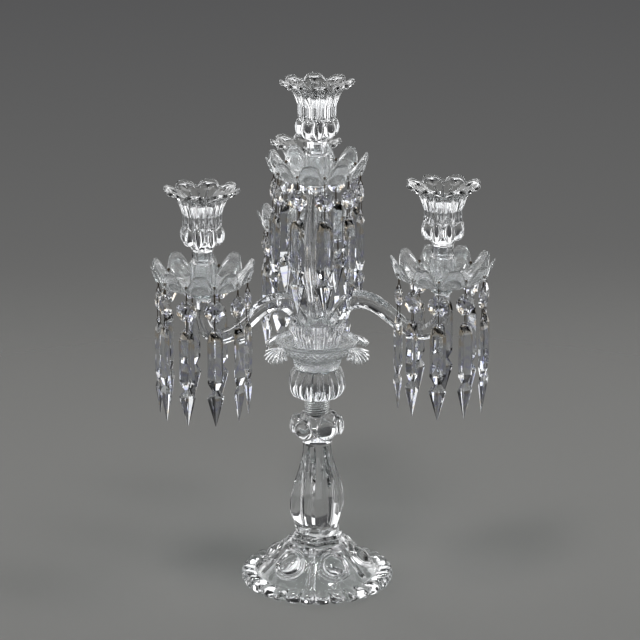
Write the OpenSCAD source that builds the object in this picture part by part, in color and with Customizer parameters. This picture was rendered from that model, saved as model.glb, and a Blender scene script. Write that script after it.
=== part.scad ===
// Four-light girandole in clear cut crystal, hung with pendant drops.
// Millimetres, +Z up, origin at the centre of the foot's underside.
// Three S-shaped arms leave a hub in the receiver bowl, and the fourth light stands on a central column.

/* [Foot] */
// Radius of the foot over its rim beads
foot_r = 84; // [80:1:95]
// Height of the beaded rim
rim_h = 13; // [9:0.5:15]
// Width of the beaded rim
rim_w = 16; // [12:0.5:18]
// Number of beads around the rim
rim_beads = 30; // [26:1:36]
// Height of the dome where the stepped collar begins
dome_h = 46; // [42:1:50]
// Radius of the lens in each medallion
medallion_r = 13; // [9:0.5:14]
// Distance of the medallions from the axis
medallion_at = 48; // [46:0.5:50]
// How far a medallion's lens stands out of the dome
medallion_rise = 5; // [3:0.5:7]
// Corner radius of the lower step of the six-sided collar
collar_r = 30; // [28:0.5:33]
// Height of each of the collar's two steps
collar_step = 4.5; // [4:0.5:6]
// Turn of the foot and stem about the axis
base_turn = -12.5; // [-30:0.5:30]

/* [Stem] */
// Height of the fluted baluster
stem_h = 102; // [85:1:120]
// Radius of the baluster where it stands on the collar
stem_foot_r = 24; // [20:0.5:26]
// Radius of the baluster at its belly
stem_belly_r = 31.5; // [27:0.5:35]
// Height of the belly above the bottom of the baluster
stem_belly_up = 32; // [25:1:45]
// Radius of the baluster at its top
stem_top_r = 16; // [14:0.5:20]
// Depth of a flute as a share of the radius there
flute_depth = 0.14; // [0.06:0.01:0.18]
// Height of the knop with six lenses
knop_h = 35; // [28:1:42]
// Radius of the knop between its lenses
knop_r = 25.5; // [23:0.5:27]
// Height of the middle of the lenses as a share of the knop's height
lens_up = 0.62; // [0.5:0.01:0.7]
// Radius of a lens
lens_r = 11; // [9:0.5:12]
// How far a lens stands out of the knop
lens_rise = 4.5; // [3:0.5:6]
// Height of the ground neck
neck_h = 20; // [16:1:24]
// Radius of the ground neck
neck_r = 13.6; // [11:0.2:15]

/* [Receiver] */
// Height of the ribbed knop under the bowl
gadroon_h = 32; // [26:1:38]
// Radius of the ribbed knop at its widest
gadroon_r = 31; // [28:0.5:34]
// Radius of the ribbed knop at its two ends
gadroon_end_r = 23; // [20:0.5:25]
// Number of ribs
gadroon_ribs = 12; // [10:1:16]
// Height of the receiver bowl
bowl_h = 32; // [28:1:36]
// Radius of the bowl's rim
bowl_rim_r = 45; // [43:0.5:50]
// Radius of the bowl's underside
bowl_foot_r = 24; // [22:0.5:26]
// Wall of the bowl
bowl_wall = 5; // [4:0.5:7]
// Thickness of the bowl's floor
bowl_floor = 10; // [8:0.5:12]
// Length of the four shells on the rim
shell_len = 20; // [17:0.5:24]
// How far a shell droops below the level
shell_droop = 38; // [30:1:50]
// Angle of the shells from the line across the bowl
shell_spread = 35; // [30:1:60]
// Radius of the hub that takes the arms
hub_r = 28; // [26:0.5:30]

/* [Arms] */
// Distance of the outer lights from the axis
arm_reach = 145; // [138:1:155]
// Width of an arm across its upright flats
arm_w = 15; // [12:0.5:16]
// Depth of an arm from its upper edge to its lower edge
arm_d = 17.5; // [15:0.5:19]
// Height of an arm's root above the bowl's floor
arm_root_up = 46; // [42:1:52]
// Distance of an arm's root from the axis
arm_root_r = 20; // [19:0.5:22]
// Slope at which an arm leaves the hub
arm_root_slope = 54; // [48:1:58]
// Distance of an arm's crest from the axis
arm_crest_r = 52; // [48:1:58]
// Height of an arm's crest above its root
arm_crest_up = 26.5; // [22:0.5:30]
// How far an arm's lowest point lies inside the outer light
arm_dip_in = 24; // [20:1:28]
// How far an arm's lowest point lies below its root
arm_dip_down = 1; // [-4:0.5:6]
// Height of an outer dish's underside above the arm's root
side_dish_up = 54; // [50:1:60]
// Height of the central dish's underside above the arm's root
center_dish_up = 150; // [148:1:160]
// Radius of the shoulder that a dish rests on
shoulder_r = 12; // [10:0.5:13.5]
// Radius of the peg that passes through the dish into the cup
peg_r = 6; // [5:0.25:6.5]
// Depth to which a peg enters a cup
peg_in = 12; // [8:0.5:13]

/* [Column] */
// Radius of the central column at its foot
column_foot_r = 11.5; // [10:0.25:12]
// Radius of the central column at its swell
column_swell_r = 19; // [16:0.5:21]
// Height of the swell above the column's foot
column_swell_up = 58; // [50:1:70]
// Radius of the column below the central dish
column_top_r = 11; // [10:0.5:13]

/* [Dishes] */
// Radius of a drip dish over its petals
dish_r = 55; // [53:0.5:58]
// Radius of a drip dish at the valleys between petals
valley_r = 50; // [48.5:0.5:52]
// Height of the petal tips, level with the cup's seat
dish_h = 30; // [27:0.5:32]
// Height of the rim in the valleys
valley_h = 15; // [13:0.5:18]
// Thickness of a dish
dish_wall = 3.5; // [3:0.25:4.5]
// Radius of the boss that a cup stands on
boss_r = 14; // [13:0.5:16]

/* [Cups] */
// Height of a candle cup
cup_h = 80; // [76:1:88]
// Radius of the cup's neck
cup_neck_r = 12.2; // [11.5:0.2:13]
// Radius of the ribbed body
cup_body_r = 20.5; // [19:0.5:23]
// Number of ribs, of pearls and of flare petals
cup_ribs = 8; // [8:1:10]
// Height of the middle of the pearls
pearl_up = 30; // [28:0.5:32]
// Half of a pearl's height
pearl_half = 10.5; // [8:0.5:11]
// Half of a pearl's width
pearl_r = 6.6; // [5:0.2:7]
// Radius of the circle that the pearls stand on
pearl_ring_r = 17; // [16:0.5:18]
// Height at which the flare leaves the ribs
flare_up = 52; // [48:1:56]
// Radius of the flare over its petals
flare_r = 40; // [36:0.5:44]
// Radius of the flare at the valleys between petals
flare_valley_r = 34; // [31:0.5:36]
// Radius of the candle socket
candle_r = 11.3; // [10.5:0.1:12]
// Depth of the candle socket
candle_depth = 30; // [24:1:34]

/* [Drops] */
// Distance of the drops from a dish's axis
hang_r = 46.5; // [45:0.25:47]
// Radius of the hanging pin's wire
wire_r = 0.6; // [0.4:0.05:0.7]
// Radius of the ring at the bottom of a pin
ring_r = 5; // [4.6:0.1:5.6]
// Drop from a dish's hole to the middle of a pin's ring
ring_down = 11; // [10:0.25:13]
// Width of a bead across its flats
bead_w = 21.5; // [18:0.5:23]
// Thickness of a bead at its tables
bead_t = 5.5; // [5:0.25:6]
// Distance between a bead's two holes
bead_holes = 13.4; // [11:0.2:14.4]
// Distance from a bead's lower hole to the prism's hole
link_len = 17; // [15:0.5:20]
// Radius of the holes in beads and prisms
drill_r = 1.4; // [1.25:0.05:1.6]
// Width of a prism
prism_w = 17; // [14:0.5:18]
// Thickness of a prism
prism_t = 8.5; // [7:0.25:9.5]
// Length of a prism from its hole to the notch above the spear
prism_len = 61; // [54:1:70]
// Length of the spear below the notch
spear_len = 40; // [34:1:44]
// Width of the spear
spear_w = 18.5; // [16:0.5:19.5]
// Height from the spear's widest level up to the notch
spear_head = 8; // [6:0.5:10]
// Turn of the central dish about the axis
center_turn = 23; // [20:0.5:25]

/* [Fits] */
// Clearance of the loose cups on their pegs
cup_gap = 0.3; // [0.2:0.05:0.5]
// Cement line in the sockets of the hub and around the pegs in the dishes
cement_gap = 0.2; // [0.1:0.05:0.3]
// Clearance between a leaning drop and the arm beside it
lean_gap = 1.6; // [1:0.1:2.5]

/* [Hidden] */
$fn = 64;
CRYSTAL = [0.86, 0.88, 0.89];
WIRE = [0.16, 0.15, 0.14];
arm_angles = [210, 330, 90];
sides = ["left", "right", "rear"];
sixth = 60;
petals = 10;
arm_flat = arm_w / 2;
arm_edge = arm_d / 2;
stem_z = dome_h + 2 * collar_step;
knop_z = stem_z + stem_h;
neck_z = knop_z + knop_h;
gadroon_z = neck_z + neck_h;
bowl_z = gadroon_z + gadroon_h;
hub_z = bowl_z + bowl_floor;
root_z = hub_z + arm_root_up;
hub_over_root = 4;
hub_top = root_z + hub_over_root;
side_dish_z = root_z + side_dish_up;
center_dish_z = root_z + center_dish_up;
tenon_r = 5.5;
tenon_len = 12;
arm_stop = 4;
column_peg_r = 5;
column_peg_len = 14;
peg_len = dish_h + peg_in;
step = 360 / petals;

// A value that eases from a to b as t goes from 0 to 1.
function eased(a, b, t) = a + (b - a) * (0.5 - 0.5 * cos(180 * t));

// A radius that eases from one [height, radius] key to the next.
function keyed(keys, z, i = 0) =
    i >= len(keys) - 2 || z <= keys[i + 1][0]
        ? eased(keys[i][1], keys[i + 1][1], (z - keys[i][0]) / (keys[i + 1][0] - keys[i][0]))
        : keyed(keys, z, i + 1);

// A point and its slope on the cubic that leaves p along u and reaches q along v.
function cubic(p, u, q, v, t) =
    p * (2 * t ^ 3 - 3 * t ^ 2 + 1) + u * (t ^ 3 - 2 * t ^ 2 + t)
    + q * (3 * t ^ 2 - 2 * t ^ 3) + v * (t ^ 3 - t ^ 2);
function cubic_slope(p, u, q, v, t) =
    p * (6 * t ^ 2 - 6 * t) + u * (3 * t ^ 2 - 4 * t + 1)
    + q * (6 * t - 6 * t ^ 2) + v * (3 * t ^ 2 - 2 * t);

// The share of a petal's reach at x petals from a valley, from 0 in the valley to 1 over the petal.
petal_flat = 0.07;
petal_ease = 0.33;
petal_steps = [petal_flat, 0.2, 0.34, 0.5, 0.66, 0.8, 1 - petal_flat];
function petal(x) = sin(90 * min(1, max(0, (0.5 - abs(x - 0.5) - petal_flat) / petal_ease)));

// The two triangles of each cell in a grid of n points a row, from row a to row b.
function band(n, a, b) = [
    for (i = [0 : n - 1])
        let (j = (i + 1) % n)
            each [[a * n + i, b * n + i, b * n + j], [a * n + i, b * n + j, a * n + j]]
];

// A solid skinned over rings from bottom to top, closed by flat ends.
module skinned(rings) {
    n = len(rings[0]);
    m = len(rings);
    polyhedron(
        points = [for (r = rings) each r],
        faces = concat(
            [[for (i = [0 : n - 1]) i]],
            [for (k = [0 : m - 2]) each band(n, k, k + 1)],
            [[for (i = [n - 1 : -1 : 0]) (m - 1) * n + i]]
        )
    );
}

// A solid skinned over closed sections that follow each other once round an axis.
module skinned_round(sections) {
    n = len(sections[0]);
    m = len(sections);
    polyhedron(
        points = [for (s = sections) each s],
        faces = [for (k = [0 : m - 1]) each band(n, k, (k + 1) % m)]
    );
}

// A point at radius r, angle a and height z.
function polar(r, a, z) = [r * cos(a), r * sin(a), z];

// A fluted solid of revolution through [height, radius] keys, with a ridge at the angle turn.
module fluted(keys, flutes, depth, turn, rows) {
    points_each = 4;
    low = keys[0][0];
    high = keys[len(keys) - 1][0];
    skinned([
        for (k = [0 : rows])
            let (z = low + (high - low) * k / rows, r = keyed(keys, z))
                [for (i = [0 : flutes * points_each - 1])
                    let (a = 360 * i / (flutes * points_each))
                        polar(r * (1 - depth * (0.5 - 0.5 * cos(flutes * a))), a + turn, z)]
    ]);
}

// A plan outline of round lobes of radius lobe_r that reach the radius r, over a round core.
lobe_core = 0.7;
module lobed(r, lobe_r, core_r, lobes, turn = 0) {
    circle(r = core_r);
    for (k = [0 : lobes - 1])
        rotate(turn + 360 * k / lobes)
            translate([r - lobe_r, 0])
                circle(r = lobe_r);
}

// Foot: the dome's height falls from the collar to the beaded rim.
dome_foot_r = foot_r - rim_w;
dome_ledge = 1.5;
dome_top_r = collar_r + dome_ledge;
dome_foot_h = rim_h - 1;
dome_bend = 1.1;
dome_steps = 8;
function dome_z(r) =
    dome_foot_h + (dome_h - dome_foot_h) * ((dome_foot_r - r) / (dome_foot_r - dome_top_r)) ^ dome_bend;
medallion_tilt = atan2(dome_z(medallion_at - 1) - dome_z(medallion_at + 1), 2);
medallion_rings = 5;
bead_round = 3;

// A round lens on a ringed disc, which is let into the dome.
module medallion() {
    seat = 5;
    disc = 0.6;
    crest = 1.8;
    edge_r = medallion_r + medallion_rings;
    rotate_extrude()
        polygon(concat(
            [[0, -seat], [edge_r, -seat], [edge_r, disc]],
            [[medallion_r + medallion_rings / 2, crest], [medallion_r, disc]],
            [for (k = [1 : 5]) [medallion_r * cos(18 * k), disc + medallion_rise * sin(18 * k)]]
        ));
}

module foot() {
    apart = 0.96;
    collar_inset = 3;
    rim_circle = foot_r * sin(180 / rim_beads) / (1 + sin(180 / rim_beads)) * apart;
    color(CRYSTAL) rotate(base_turn) {
        intersection() {
            linear_extrude(dome_h)
                lobed(foot_r, rim_circle, foot_r - rim_circle * lobe_core, rim_beads, 180 / rim_beads);
            rotate_extrude()
                polygon(concat(
                    [[0, 0], [foot_r - bead_round, 0], [foot_r, bead_round]],
                    [[foot_r, rim_h - 1.5 * bead_round], [foot_r - 1.5 * bead_round, rim_h]],
                    [[dome_foot_r + bead_round, rim_h]],
                    [for (k = [0 : dome_steps])
                        let (r = dome_foot_r + (dome_top_r - dome_foot_r) * k / dome_steps) [r, dome_z(r)]],
                    [[0, dome_h]]
                ));
        }
        for (k = [0 : 5])
            rotate(sixth * k)
                translate([medallion_at, 0, dome_z(medallion_at)])
                    rotate([0, medallion_tilt, 0])
                        medallion();
        rotate(sixth / 2) {
            translate([0, 0, dome_h - collar_step])
                cylinder(h = 2 * collar_step, r = collar_r, $fn = 6);
            translate([0, 0, dome_h + collar_step / 2])
                cylinder(h = 1.5 * collar_step, r = collar_r - collar_inset, $fn = 6);
        }
    }
}

// The knop's middle swells between the baluster's top and the neck, and carries the lenses.
lens_z = knop_z + lens_up * knop_h;
function knop_out(z) =
    z < lens_z
        ? eased(stem_top_r, knop_r, (z - knop_z) / (lens_z - knop_z))
        : eased(knop_r, neck_r, (z - lens_z) / (neck_z - lens_z));

// A lens that stands out along +X.
module lens() {
    seat = 6;
    rotate([0, 90, 0])
        rotate_extrude()
            polygon(concat(
                [[0, -seat], [lens_r, -seat]],
                [for (k = [0 : 6]) [lens_r * cos(15 * k), lens_rise * sin(15 * k)]]
            ));
}

module stem() {
    flutes = 6;
    rows = 20;
    knop_rows = 12;
    color(CRYSTAL) rotate(base_turn) {
        fluted(
            [[stem_z, stem_foot_r], [stem_z + stem_belly_up, stem_belly_r], [knop_z + 1, stem_top_r]],
            flutes, flute_depth, sixth / 2, rows
        );
        rotate_extrude()
            polygon(concat(
                [[0, knop_z]],
                [for (k = [0 : knop_rows])
                    let (z = knop_z + knop_h * k / knop_rows) [knop_out(z), z]],
                [[0, neck_z]]
            ));
        for (k = [0 : 5])
            rotate(sixth * k)
                translate([knop_r, 0, lens_z])
                    lens();
        translate([0, 0, neck_z - 1])
            cylinder(h = neck_h + 1, r = neck_r);
    }
}

module gadroon_knop() {
    rib_r = gadroon_r * sin(180 / gadroon_ribs) / (1 + sin(180 / gadroon_ribs));
    core_r = gadroon_r - rib_r * lobe_core;
    color(CRYSTAL)
        intersection() {
            translate([0, 0, gadroon_z])
                linear_extrude(gadroon_h)
                    lobed(gadroon_r, rib_r, core_r, gadroon_ribs, 180 / gadroon_ribs);
            rotate_extrude()
                polygon(concat(
                    [[0, gadroon_z]],
                    [for (k = [-5 : 5])
                        [gadroon_end_r + (gadroon_r - gadroon_end_r) * cos(18 * k),
                            gadroon_z + gadroon_h / 2 * (1 + sin(18 * k))]],
                    [[0, gadroon_z + gadroon_h]]
                ));
        }
}

// A ribbed shell that fans out along +X, curved like a scallop, on a flat root that enters the bowl's wall.
module shell() {
    fan = 58;
    ribs = 4;
    wave = 0.9;
    curl = 3;
    wall = 4.4;
    root = [14, 8, 2.6];
    root_in = 2;
    root_down = 0.7;
    across = 16;
    along = [0.35, 0.56, 0.8, 1];
    function at(i, s, down) =
        let (a = fan * (2 * i / across - 1), l = shell_len * (0.78 + 0.22 * cos(a)))
            [s * l * cos(a), s * l * sin(a),
                curl * sin(150 * s) + s * wave * cos(180 * ribs * (2 * i / across - 1)) - down];
    skinned([
        for (i = [0 : across])
            concat(
                [for (s = along) at(i, s, 0)],
                [for (k = [len(along) - 1 : -1 : 0]) at(i, along[k], wall)]
            )
    ]);
    translate([-root_in, -root[1] / 2, -root_down])
        cube(root);
}

// The bowl's inside follows its outside at the wall's distance.
bowl_lip = 0.9;
hub_foot_r = bowl_foot_r - bowl_wall;
bowl_keys = [[0, bowl_foot_r], [0.25, bowl_foot_r + 2.5], [0.75, bowl_rim_r - 3], [bowl_lip, bowl_rim_r]];
module receiver_bowl() {
    rows = 8;
    floor_edge = 1.5;
    shell_turn = -5;
    shell_in = 1;
    shell_down = 2.5;
    color(CRYSTAL) {
        rotate_extrude()
            polygon(concat(
                [[0, bowl_z]],
                [for (k = [0 : rows])
                    let (t = bowl_lip * k / rows) [keyed(bowl_keys, t), bowl_z + t * bowl_h]],
                [[bowl_rim_r - 1, bowl_z + bowl_h], [bowl_rim_r - bowl_wall + 1, bowl_z + bowl_h]],
                [for (k = [rows : -1 : 3])
                    let (t = bowl_lip * k / rows)
                        [keyed(bowl_keys, t) - bowl_wall, max(hub_z, bowl_z + t * bowl_h + 0.3)]],
                [[hub_foot_r + floor_edge, hub_z], [0, hub_z]]
            ));
        for (a = [-shell_spread, shell_spread, 180 - shell_spread, 180 + shell_spread])
            rotate(a + shell_turn)
                translate([bowl_rim_r - shell_in, 0, bowl_z + bowl_h - shell_down])
                    rotate([0, shell_droop, 0])
                        shell();
    }
}

// Places its children at an arm's root, with +Z along the arm as it leaves the hub.
module at_root(angle) {
    rotate(angle)
        translate([arm_root_r, 0, root_z])
            rotate([0, 90 - arm_root_slope, 0])
                children();
}

module arm_hub() {
    color(CRYSTAL)
        difference() {
            rotate_extrude()
                polygon([
                    [0, hub_z], [hub_foot_r, hub_z], [hub_foot_r, hub_z + 6],
                    [hub_r, hub_z + 0.7 * arm_root_up], [hub_r, hub_top], [0, hub_top]
                ]);
            for (a = arm_angles)
                at_root(a) {
                    translate([-2 * hub_r, -2 * hub_r, 0])
                        cube([4 * hub_r, 4 * hub_r, 2 * hub_r]);
                    translate([0, 0, -tenon_len - cement_gap])
                        cylinder(h = 2 * tenon_len, r = tenon_r + cement_gap);
                }
            translate([0, 0, hub_top - column_peg_len - cement_gap])
                cylinder(h = 2 * column_peg_len, r = column_peg_r + cement_gap);
        }
}

// The shoulder and the peg that carry a dish and its cup, with the dish's underside at z.
module dish_peg(z) {
    shoulder_h = 7;
    translate([0, 0, z - shoulder_h])
        cylinder(h = shoulder_h, r = shoulder_r);
    translate([0, 0, z - 1])
        cylinder(h = peg_len + 1, r = peg_r);
}

module central_column() {
    flutes = 8;
    depth = 0.12;
    rows = 16;
    waist_up = 8;
    waist_r = column_foot_r - 0.5;
    color(CRYSTAL) {
        fluted(
            [[hub_top, column_foot_r], [hub_top + waist_up, waist_r],
                [hub_top + column_swell_up, column_swell_r], [center_dish_z - arm_stop, column_top_r]],
            flutes, depth, 0, rows
        );
        translate([0, 0, hub_top - column_peg_len])
            cylinder(h = column_peg_len + 1, r = column_peg_r);
        dish_peg(center_dish_z);
    }
}

// The arm's centreline in its own plane, as [point, slope] pairs of [distance from the axis, height].
arm_pull = 1.17;
arm_rows = 9;
arm_root = [arm_root_r, root_z];
arm_crest = [arm_crest_r, root_z + arm_crest_up];
arm_dip = [arm_reach - arm_dip_in, root_z - arm_dip_down];
arm_turn_up = 1.25;
arm_rise = [arm_reach, root_z - arm_dip_down + arm_turn_up * arm_dip_in];
arm_end = [arm_reach, side_dish_z - arm_stop];
arm_keys = [
    [arm_root, [cos(arm_root_slope), sin(arm_root_slope)]],
    [arm_crest, [1, 0]],
    [arm_dip, [1, 0]],
    [arm_rise, [0, 1]],
];
arm_line = concat(
    [for (k = [0 : len(arm_keys) - 2], i = [0 : arm_rows - 1])
        let (
            p = arm_keys[k][0],
            q = arm_keys[k + 1][0],
            pull = arm_pull * norm(q - p),
            u = arm_keys[k][1] * pull,
            v = arm_keys[k + 1][1] * pull,
            t = i / arm_rows,
            s = cubic_slope(p, u, q, v, t)
        )
            [cubic(p, u, q, v, t), s / norm(s)]],
    [[arm_rise, [0, 1]], [arm_end, [0, 1]]]
);

module arm(angle) {
    corner = arm_edge / 2;
    color(CRYSTAL)
        rotate(angle) {
            skinned([
                for (p = arm_line)
                    let (c = p[0], up = [-p[1][1], p[1][0]])
                        [for (h = [
                            [0, arm_edge], [-arm_flat, corner], [-arm_flat, -corner],
                            [0, -arm_edge], [arm_flat, -corner], [arm_flat, corner]
                        ])
                            [c[0] + up[0] * h[1], h[0], c[1] + up[1] * h[1]]]
            ]);
            translate([arm_reach, 0, 0])
                dish_peg(side_dish_z);
            at_root(0)
                translate([0, 0, -tenon_len])
                    cylinder(h = tenon_len + 4, r = tenon_r);
        }
}

// Drip dish: heights above its underside, angles from the valley at 0.
dish_start = boss_r - 1;
dish_bend = 2.4;
function dish_top(u, p) = dish_wall + u ^ dish_bend * (valley_h + (dish_h - valley_h) * p - dish_wall);
function dish_out(u, p) = dish_start + u * (valley_r + (dish_r - valley_r) * p - dish_start);
hang_u = (hang_r - dish_start) / (valley_r - dish_start);
hole_up = dish_top(hang_u, 0);
drill_gap = 0.5;

module drip_dish(angle, reach, z, turn) {
    tops = [0, 0.4, 0.7, 0.9, 1];
    unders = [0.99, 0.7, 0.4, 0];
    color(CRYSTAL)
        rotate(angle)
            translate([reach, 0, z])
                rotate(turn)
                    difference() {
                        union() {
                            skinned_round([
                                for (k = [0 : petals - 1], x = petal_steps)
                                    let (p = petal(x), a = (k + x) * step)
                                        concat(
                                            [for (u = tops) polar(dish_out(u, p), a, dish_top(u, p))],
                                            [for (u = unders)
                                                polar(dish_out(u, p), a, dish_top(u, p) - dish_wall)]
                                        )
                            ]);
                            cylinder(h = dish_h, r = boss_r);
                        }
                        translate([0, 0, -1])
                            cylinder(h = dish_h + 2, r = peg_r + cement_gap);
                        for (k = [0 : petals - 1])
                            rotate(k * step)
                                translate([hang_r, 0, 0])
                                    cylinder(h = dish_h, r = wire_r + drill_gap, $fn = 24);
                    }
}

// A pearl drawn out along its height.
module pearl() {
    tip_r = 0.8;
    rotate_extrude($fn = 32)
        polygon(concat(
            [[0, -pearl_half], [tip_r, -pearl_half]],
            [for (k = [-5 : 5]) [pearl_r * cos(15 * k), pearl_half * sin(15 * k)]],
            [[tip_r, pearl_half], [0, pearl_half]]
        ));
}

// Candle cup: heights above its seat on the dish.
flare_edge = 3;
flare_floor_up = 14;
flare_floor = flare_up + flare_floor_up;
flare_valley_down = 4.5;
mouth_lip = 3;
mouth_r = candle_r + mouth_lip;
function flare_reach(p) = flare_valley_r + (flare_r - flare_valley_r) * p;
function flare_rim(p) = cup_h - flare_valley_down * (1 - p);
function flare_inside(u, p) =
    [mouth_r + u * (flare_reach(p) - mouth_r), flare_floor + u ^ 0.8 * (flare_rim(p) - flare_floor)];
function flare_outside(u, p) =
    [cup_body_r + u * (flare_reach(p) - cup_body_r),
        flare_up + (1 - (1 - u) ^ 2.6) * (flare_rim(p) - flare_edge - flare_up)];

module candle_cup(angle, reach, z) {
    seat_h = 3;
    socket_wall = 5;
    core_r = candle_r + socket_wall;
    rib_r = 4.9;
    tops = [0, 0.35, 0.7, 1];
    unders = [0.99, 0.7, 0.4, 0.15, 0];
    color(CRYSTAL)
        rotate(angle)
            translate([reach, 0, z + dish_h])
                difference() {
                    union() {
                        rotate_extrude()
                            polygon([
                                [0, 0], [cup_neck_r, 0], [cup_neck_r, seat_h], [cup_neck_r - 1, seat_h + 2],
                                [cup_neck_r - 0.8, pearl_up - pearl_half - 6],
                                [pearl_ring_r - 2, pearl_up - pearl_half + 2],
                                [pearl_ring_r - 0.5, pearl_up], [core_r, pearl_up + pearl_half],
                                [core_r, flare_floor], [0, flare_floor]
                            ]);
                        translate([0, 0, pearl_up + pearl_half - 4])
                            linear_extrude(flare_up - pearl_up - pearl_half + 10)
                                lobed(cup_body_r, rib_r, core_r - 0.5, cup_ribs);
                        for (k = [0 : cup_ribs - 1])
                            rotate(360 * k / cup_ribs)
                                translate([pearl_ring_r, 0, pearl_up])
                                    pearl();
                        skinned_round([
                            for (k = [0 : cup_ribs - 1], x = petal_steps)
                                let (p = petal(x), a = (k + x - 0.5) * 360 / cup_ribs)
                                    concat(
                                        [for (u = tops)
                                            let (q = flare_inside(u, p)) polar(q[0], a, q[1])],
                                        [for (u = unders)
                                            let (q = flare_outside(u, p)) polar(q[0], a, q[1])]
                                    )
                        ]);
                    }
                    translate([0, 0, flare_floor - candle_depth])
                        cylinder(h = cup_h, r = candle_r);
                    translate([0, 0, -1])
                        cylinder(h = peg_in + 1 + cup_gap, r = peg_r + cup_gap);
                }
}

// Drops: angles run from the direction that points from a dish to the main axis.
function drop_angle(side, k) = side == "center" ? center_turn + (k - 1) * step : 180 + k * step;

// How far an angle lies from the nearest arm, between -60 and 60.
function off_arm(a) = (a - 90 + 60 + 720) % 120 - 60;

// Places its children at the middle of a pin's ring, with +X pointing away from the dish's axis.
module at_ring(side, k) {
    i = side == "center" ? -1 : search([side], sides)[0];
    base = i < 0 ? 0 : arm_angles[i];
    reach = i < 0 ? 0 : arm_reach;
    z = i < 0 ? center_dish_z : side_dish_z;
    rotate(base)
        translate([reach, 0, z + hole_up - ring_down])
            rotate(drop_angle(side, k))
                translate([hang_r, 0, 0])
                    children();
}

// A wire ring that stands in the plane of X and Z.
module ring(r, wire) {
    rotate([90, 0, 0])
        rotate_extrude($fn = 48)
            translate([r, 0])
                circle(r = wire, $fn = 24);
}

module hook_pin() {
    head_r = 1.6;
    head_up = ring_down + head_r * 1.3;
    ring(ring_r, wire_r);
    translate([0, 0, ring_r])
        cylinder(h = head_up - ring_r, r = wire_r, $fn = 24);
    translate([0, 0, head_up])
        sphere(r = head_r, $fn = 32);
}

module hook_pins() {
    color(WIRE) {
        for (s = sides, k = [1 : petals - 1])
            at_ring(s, k)
                hook_pin();
        for (k = [1 : petals])
            at_ring("center", k)
                hook_pin();
    }
}

// An eight-sided bead with a table on each face, seen along X.
module bead() {
    girdle = 1.1;
    edge_r = bead_w / 2 / cos(22.5);
    table_r = bead_w * 0.22;
    function octagon(r, x) = [for (i = [0 : 7]) [x, r * sin(22.5 + 45 * i), r * cos(22.5 + 45 * i)]];
    skinned([
        octagon(table_r, bead_t / 2), octagon(edge_r, girdle),
        octagon(edge_r, -girdle), octagon(table_r, -bead_t / 2)
    ]);
}

// The wire link through the holes of a bead and its prism, with the bead's hole at z = 0.
module link() {
    wire = 0.5;
    half_w = 3.6;
    past_hole = 0.3;
    bend = half_w - past_hole;
    for (s = [-1, 1])
        translate([s * half_w, 0, bend - link_len])
            cylinder(h = link_len - 2 * bend, r = wire, $fn = 24);
    for (end = [[-bend, 0], [bend - link_len, 180]])
        translate([0, 0, end[0]])
            rotate([90, end[1], 0])
                rotate_extrude(angle = 180, $fn = 48)
                    translate([half_w, 0])
                        circle(r = wire, $fn = 24);
}

// A prism with a wide front and a ridged back that ends in a notch and a spear, with its hole at z = 0.
module prism() {
    top = 4.5;
    roof = 8;
    notch = 0.42;
    table = 0.62;
    ridge = 0.08;
    edge = 0.3;
    hole_w = 0.82;
    hole_t = 3.4;
    peak_w = 0.45;
    peak_t = 2.4;
    tip = [0.6, 0.4];
    function six(w, t, z) = [
        for (c = [[1, edge], [ridge, -1], [-ridge, -1], [-1, edge], [-table, 1], [table, 1]])
            [c[1] * t / 2, c[0] * w / 2, z]
    ];
    skinned([
        six(tip[0], tip[1], -prism_len - spear_len),
        six(spear_w, prism_t, -prism_len - spear_head),
        six(spear_w * notch, prism_t * notch * 1.3, -prism_len),
        six(prism_w, prism_t, -prism_len + spear_head),
        six(prism_w, prism_t, -roof),
        six(prism_w * hole_w, hole_t, 0),
        six(prism_w * peak_w, peak_t, top)
    ]);
}

// How far a drop leans sideways so that it hangs beside an arm and not in it.
hole_down = ring_r + bead_holes + link_len;
tip_down = hole_down + prism_len + spear_len;
arm_crest_down = center_dish_up + hole_up - ring_down - arm_crest_up - arm_edge / 2;
function lean(side, k) =
    side != "center" ? 0
        : let (
            d = off_arm(drop_angle(side, k)),
            beside = hang_r * abs(sin(d)),
            spear_half = spear_w / 2 * (tip_down - arm_crest_down) / (spear_len - spear_head),
            short = max(0, arm_flat + spear_half + lean_gap - beside)
        )
            sign(d) * atan2(short, arm_crest_down - ring_r);

module drop(side, k) {
    color(CRYSTAL)
        at_ring(side, k)
            translate([0, 0, -ring_r])
                rotate([lean(side, k), 0, 0]) {
                    translate([0, 0, -bead_holes / 2])
                        difference() {
                            bead();
                            for (s = [-1, 1])
                                translate([-bead_t, 0, s * bead_holes / 2])
                                    rotate([0, 90, 0])
                                        cylinder(h = 2 * bead_t, r = drill_r, $fn = 24);
                        }
                    translate([0, 0, -bead_holes]) {
                        link();
                        translate([0, 0, -link_len])
                            difference() {
                                prism();
                                translate([-prism_t, 0, 0])
                                    rotate([0, 90, 0])
                                        cylinder(h = 2 * prism_t, r = drill_r, $fn = 24);
                            }
                    }
                }
}

foot();
stem();
gadroon_knop();
receiver_bowl();
arm_hub();
central_column();
for (i = [0 : 2]) {
    arm(arm_angles[i]);
    drip_dish(arm_angles[i], arm_reach, side_dish_z, 180);
    candle_cup(arm_angles[i], arm_reach, side_dish_z);
    for (k = [1 : petals - 1])
        drop(sides[i], k);
}
drip_dish(0, 0, center_dish_z, center_turn);  // drip_dish_center
candle_cup(0, 0, center_dish_z);  // candle_cup_center
hook_pins();
for (k = [1 : petals])
    drop("center", k);
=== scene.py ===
"""Looks of a four-light crystal girandole: fine pieces, finishes, light and camera over its CAD frame."""

import logging
import math
from abc import ABC, abstractmethod
from collections.abc import Iterator, Sequence
from dataclasses import dataclass
from enum import Enum
from typing import ClassVar

import bpy
import numpy as np
from mathutils import Matrix, Vector


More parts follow.
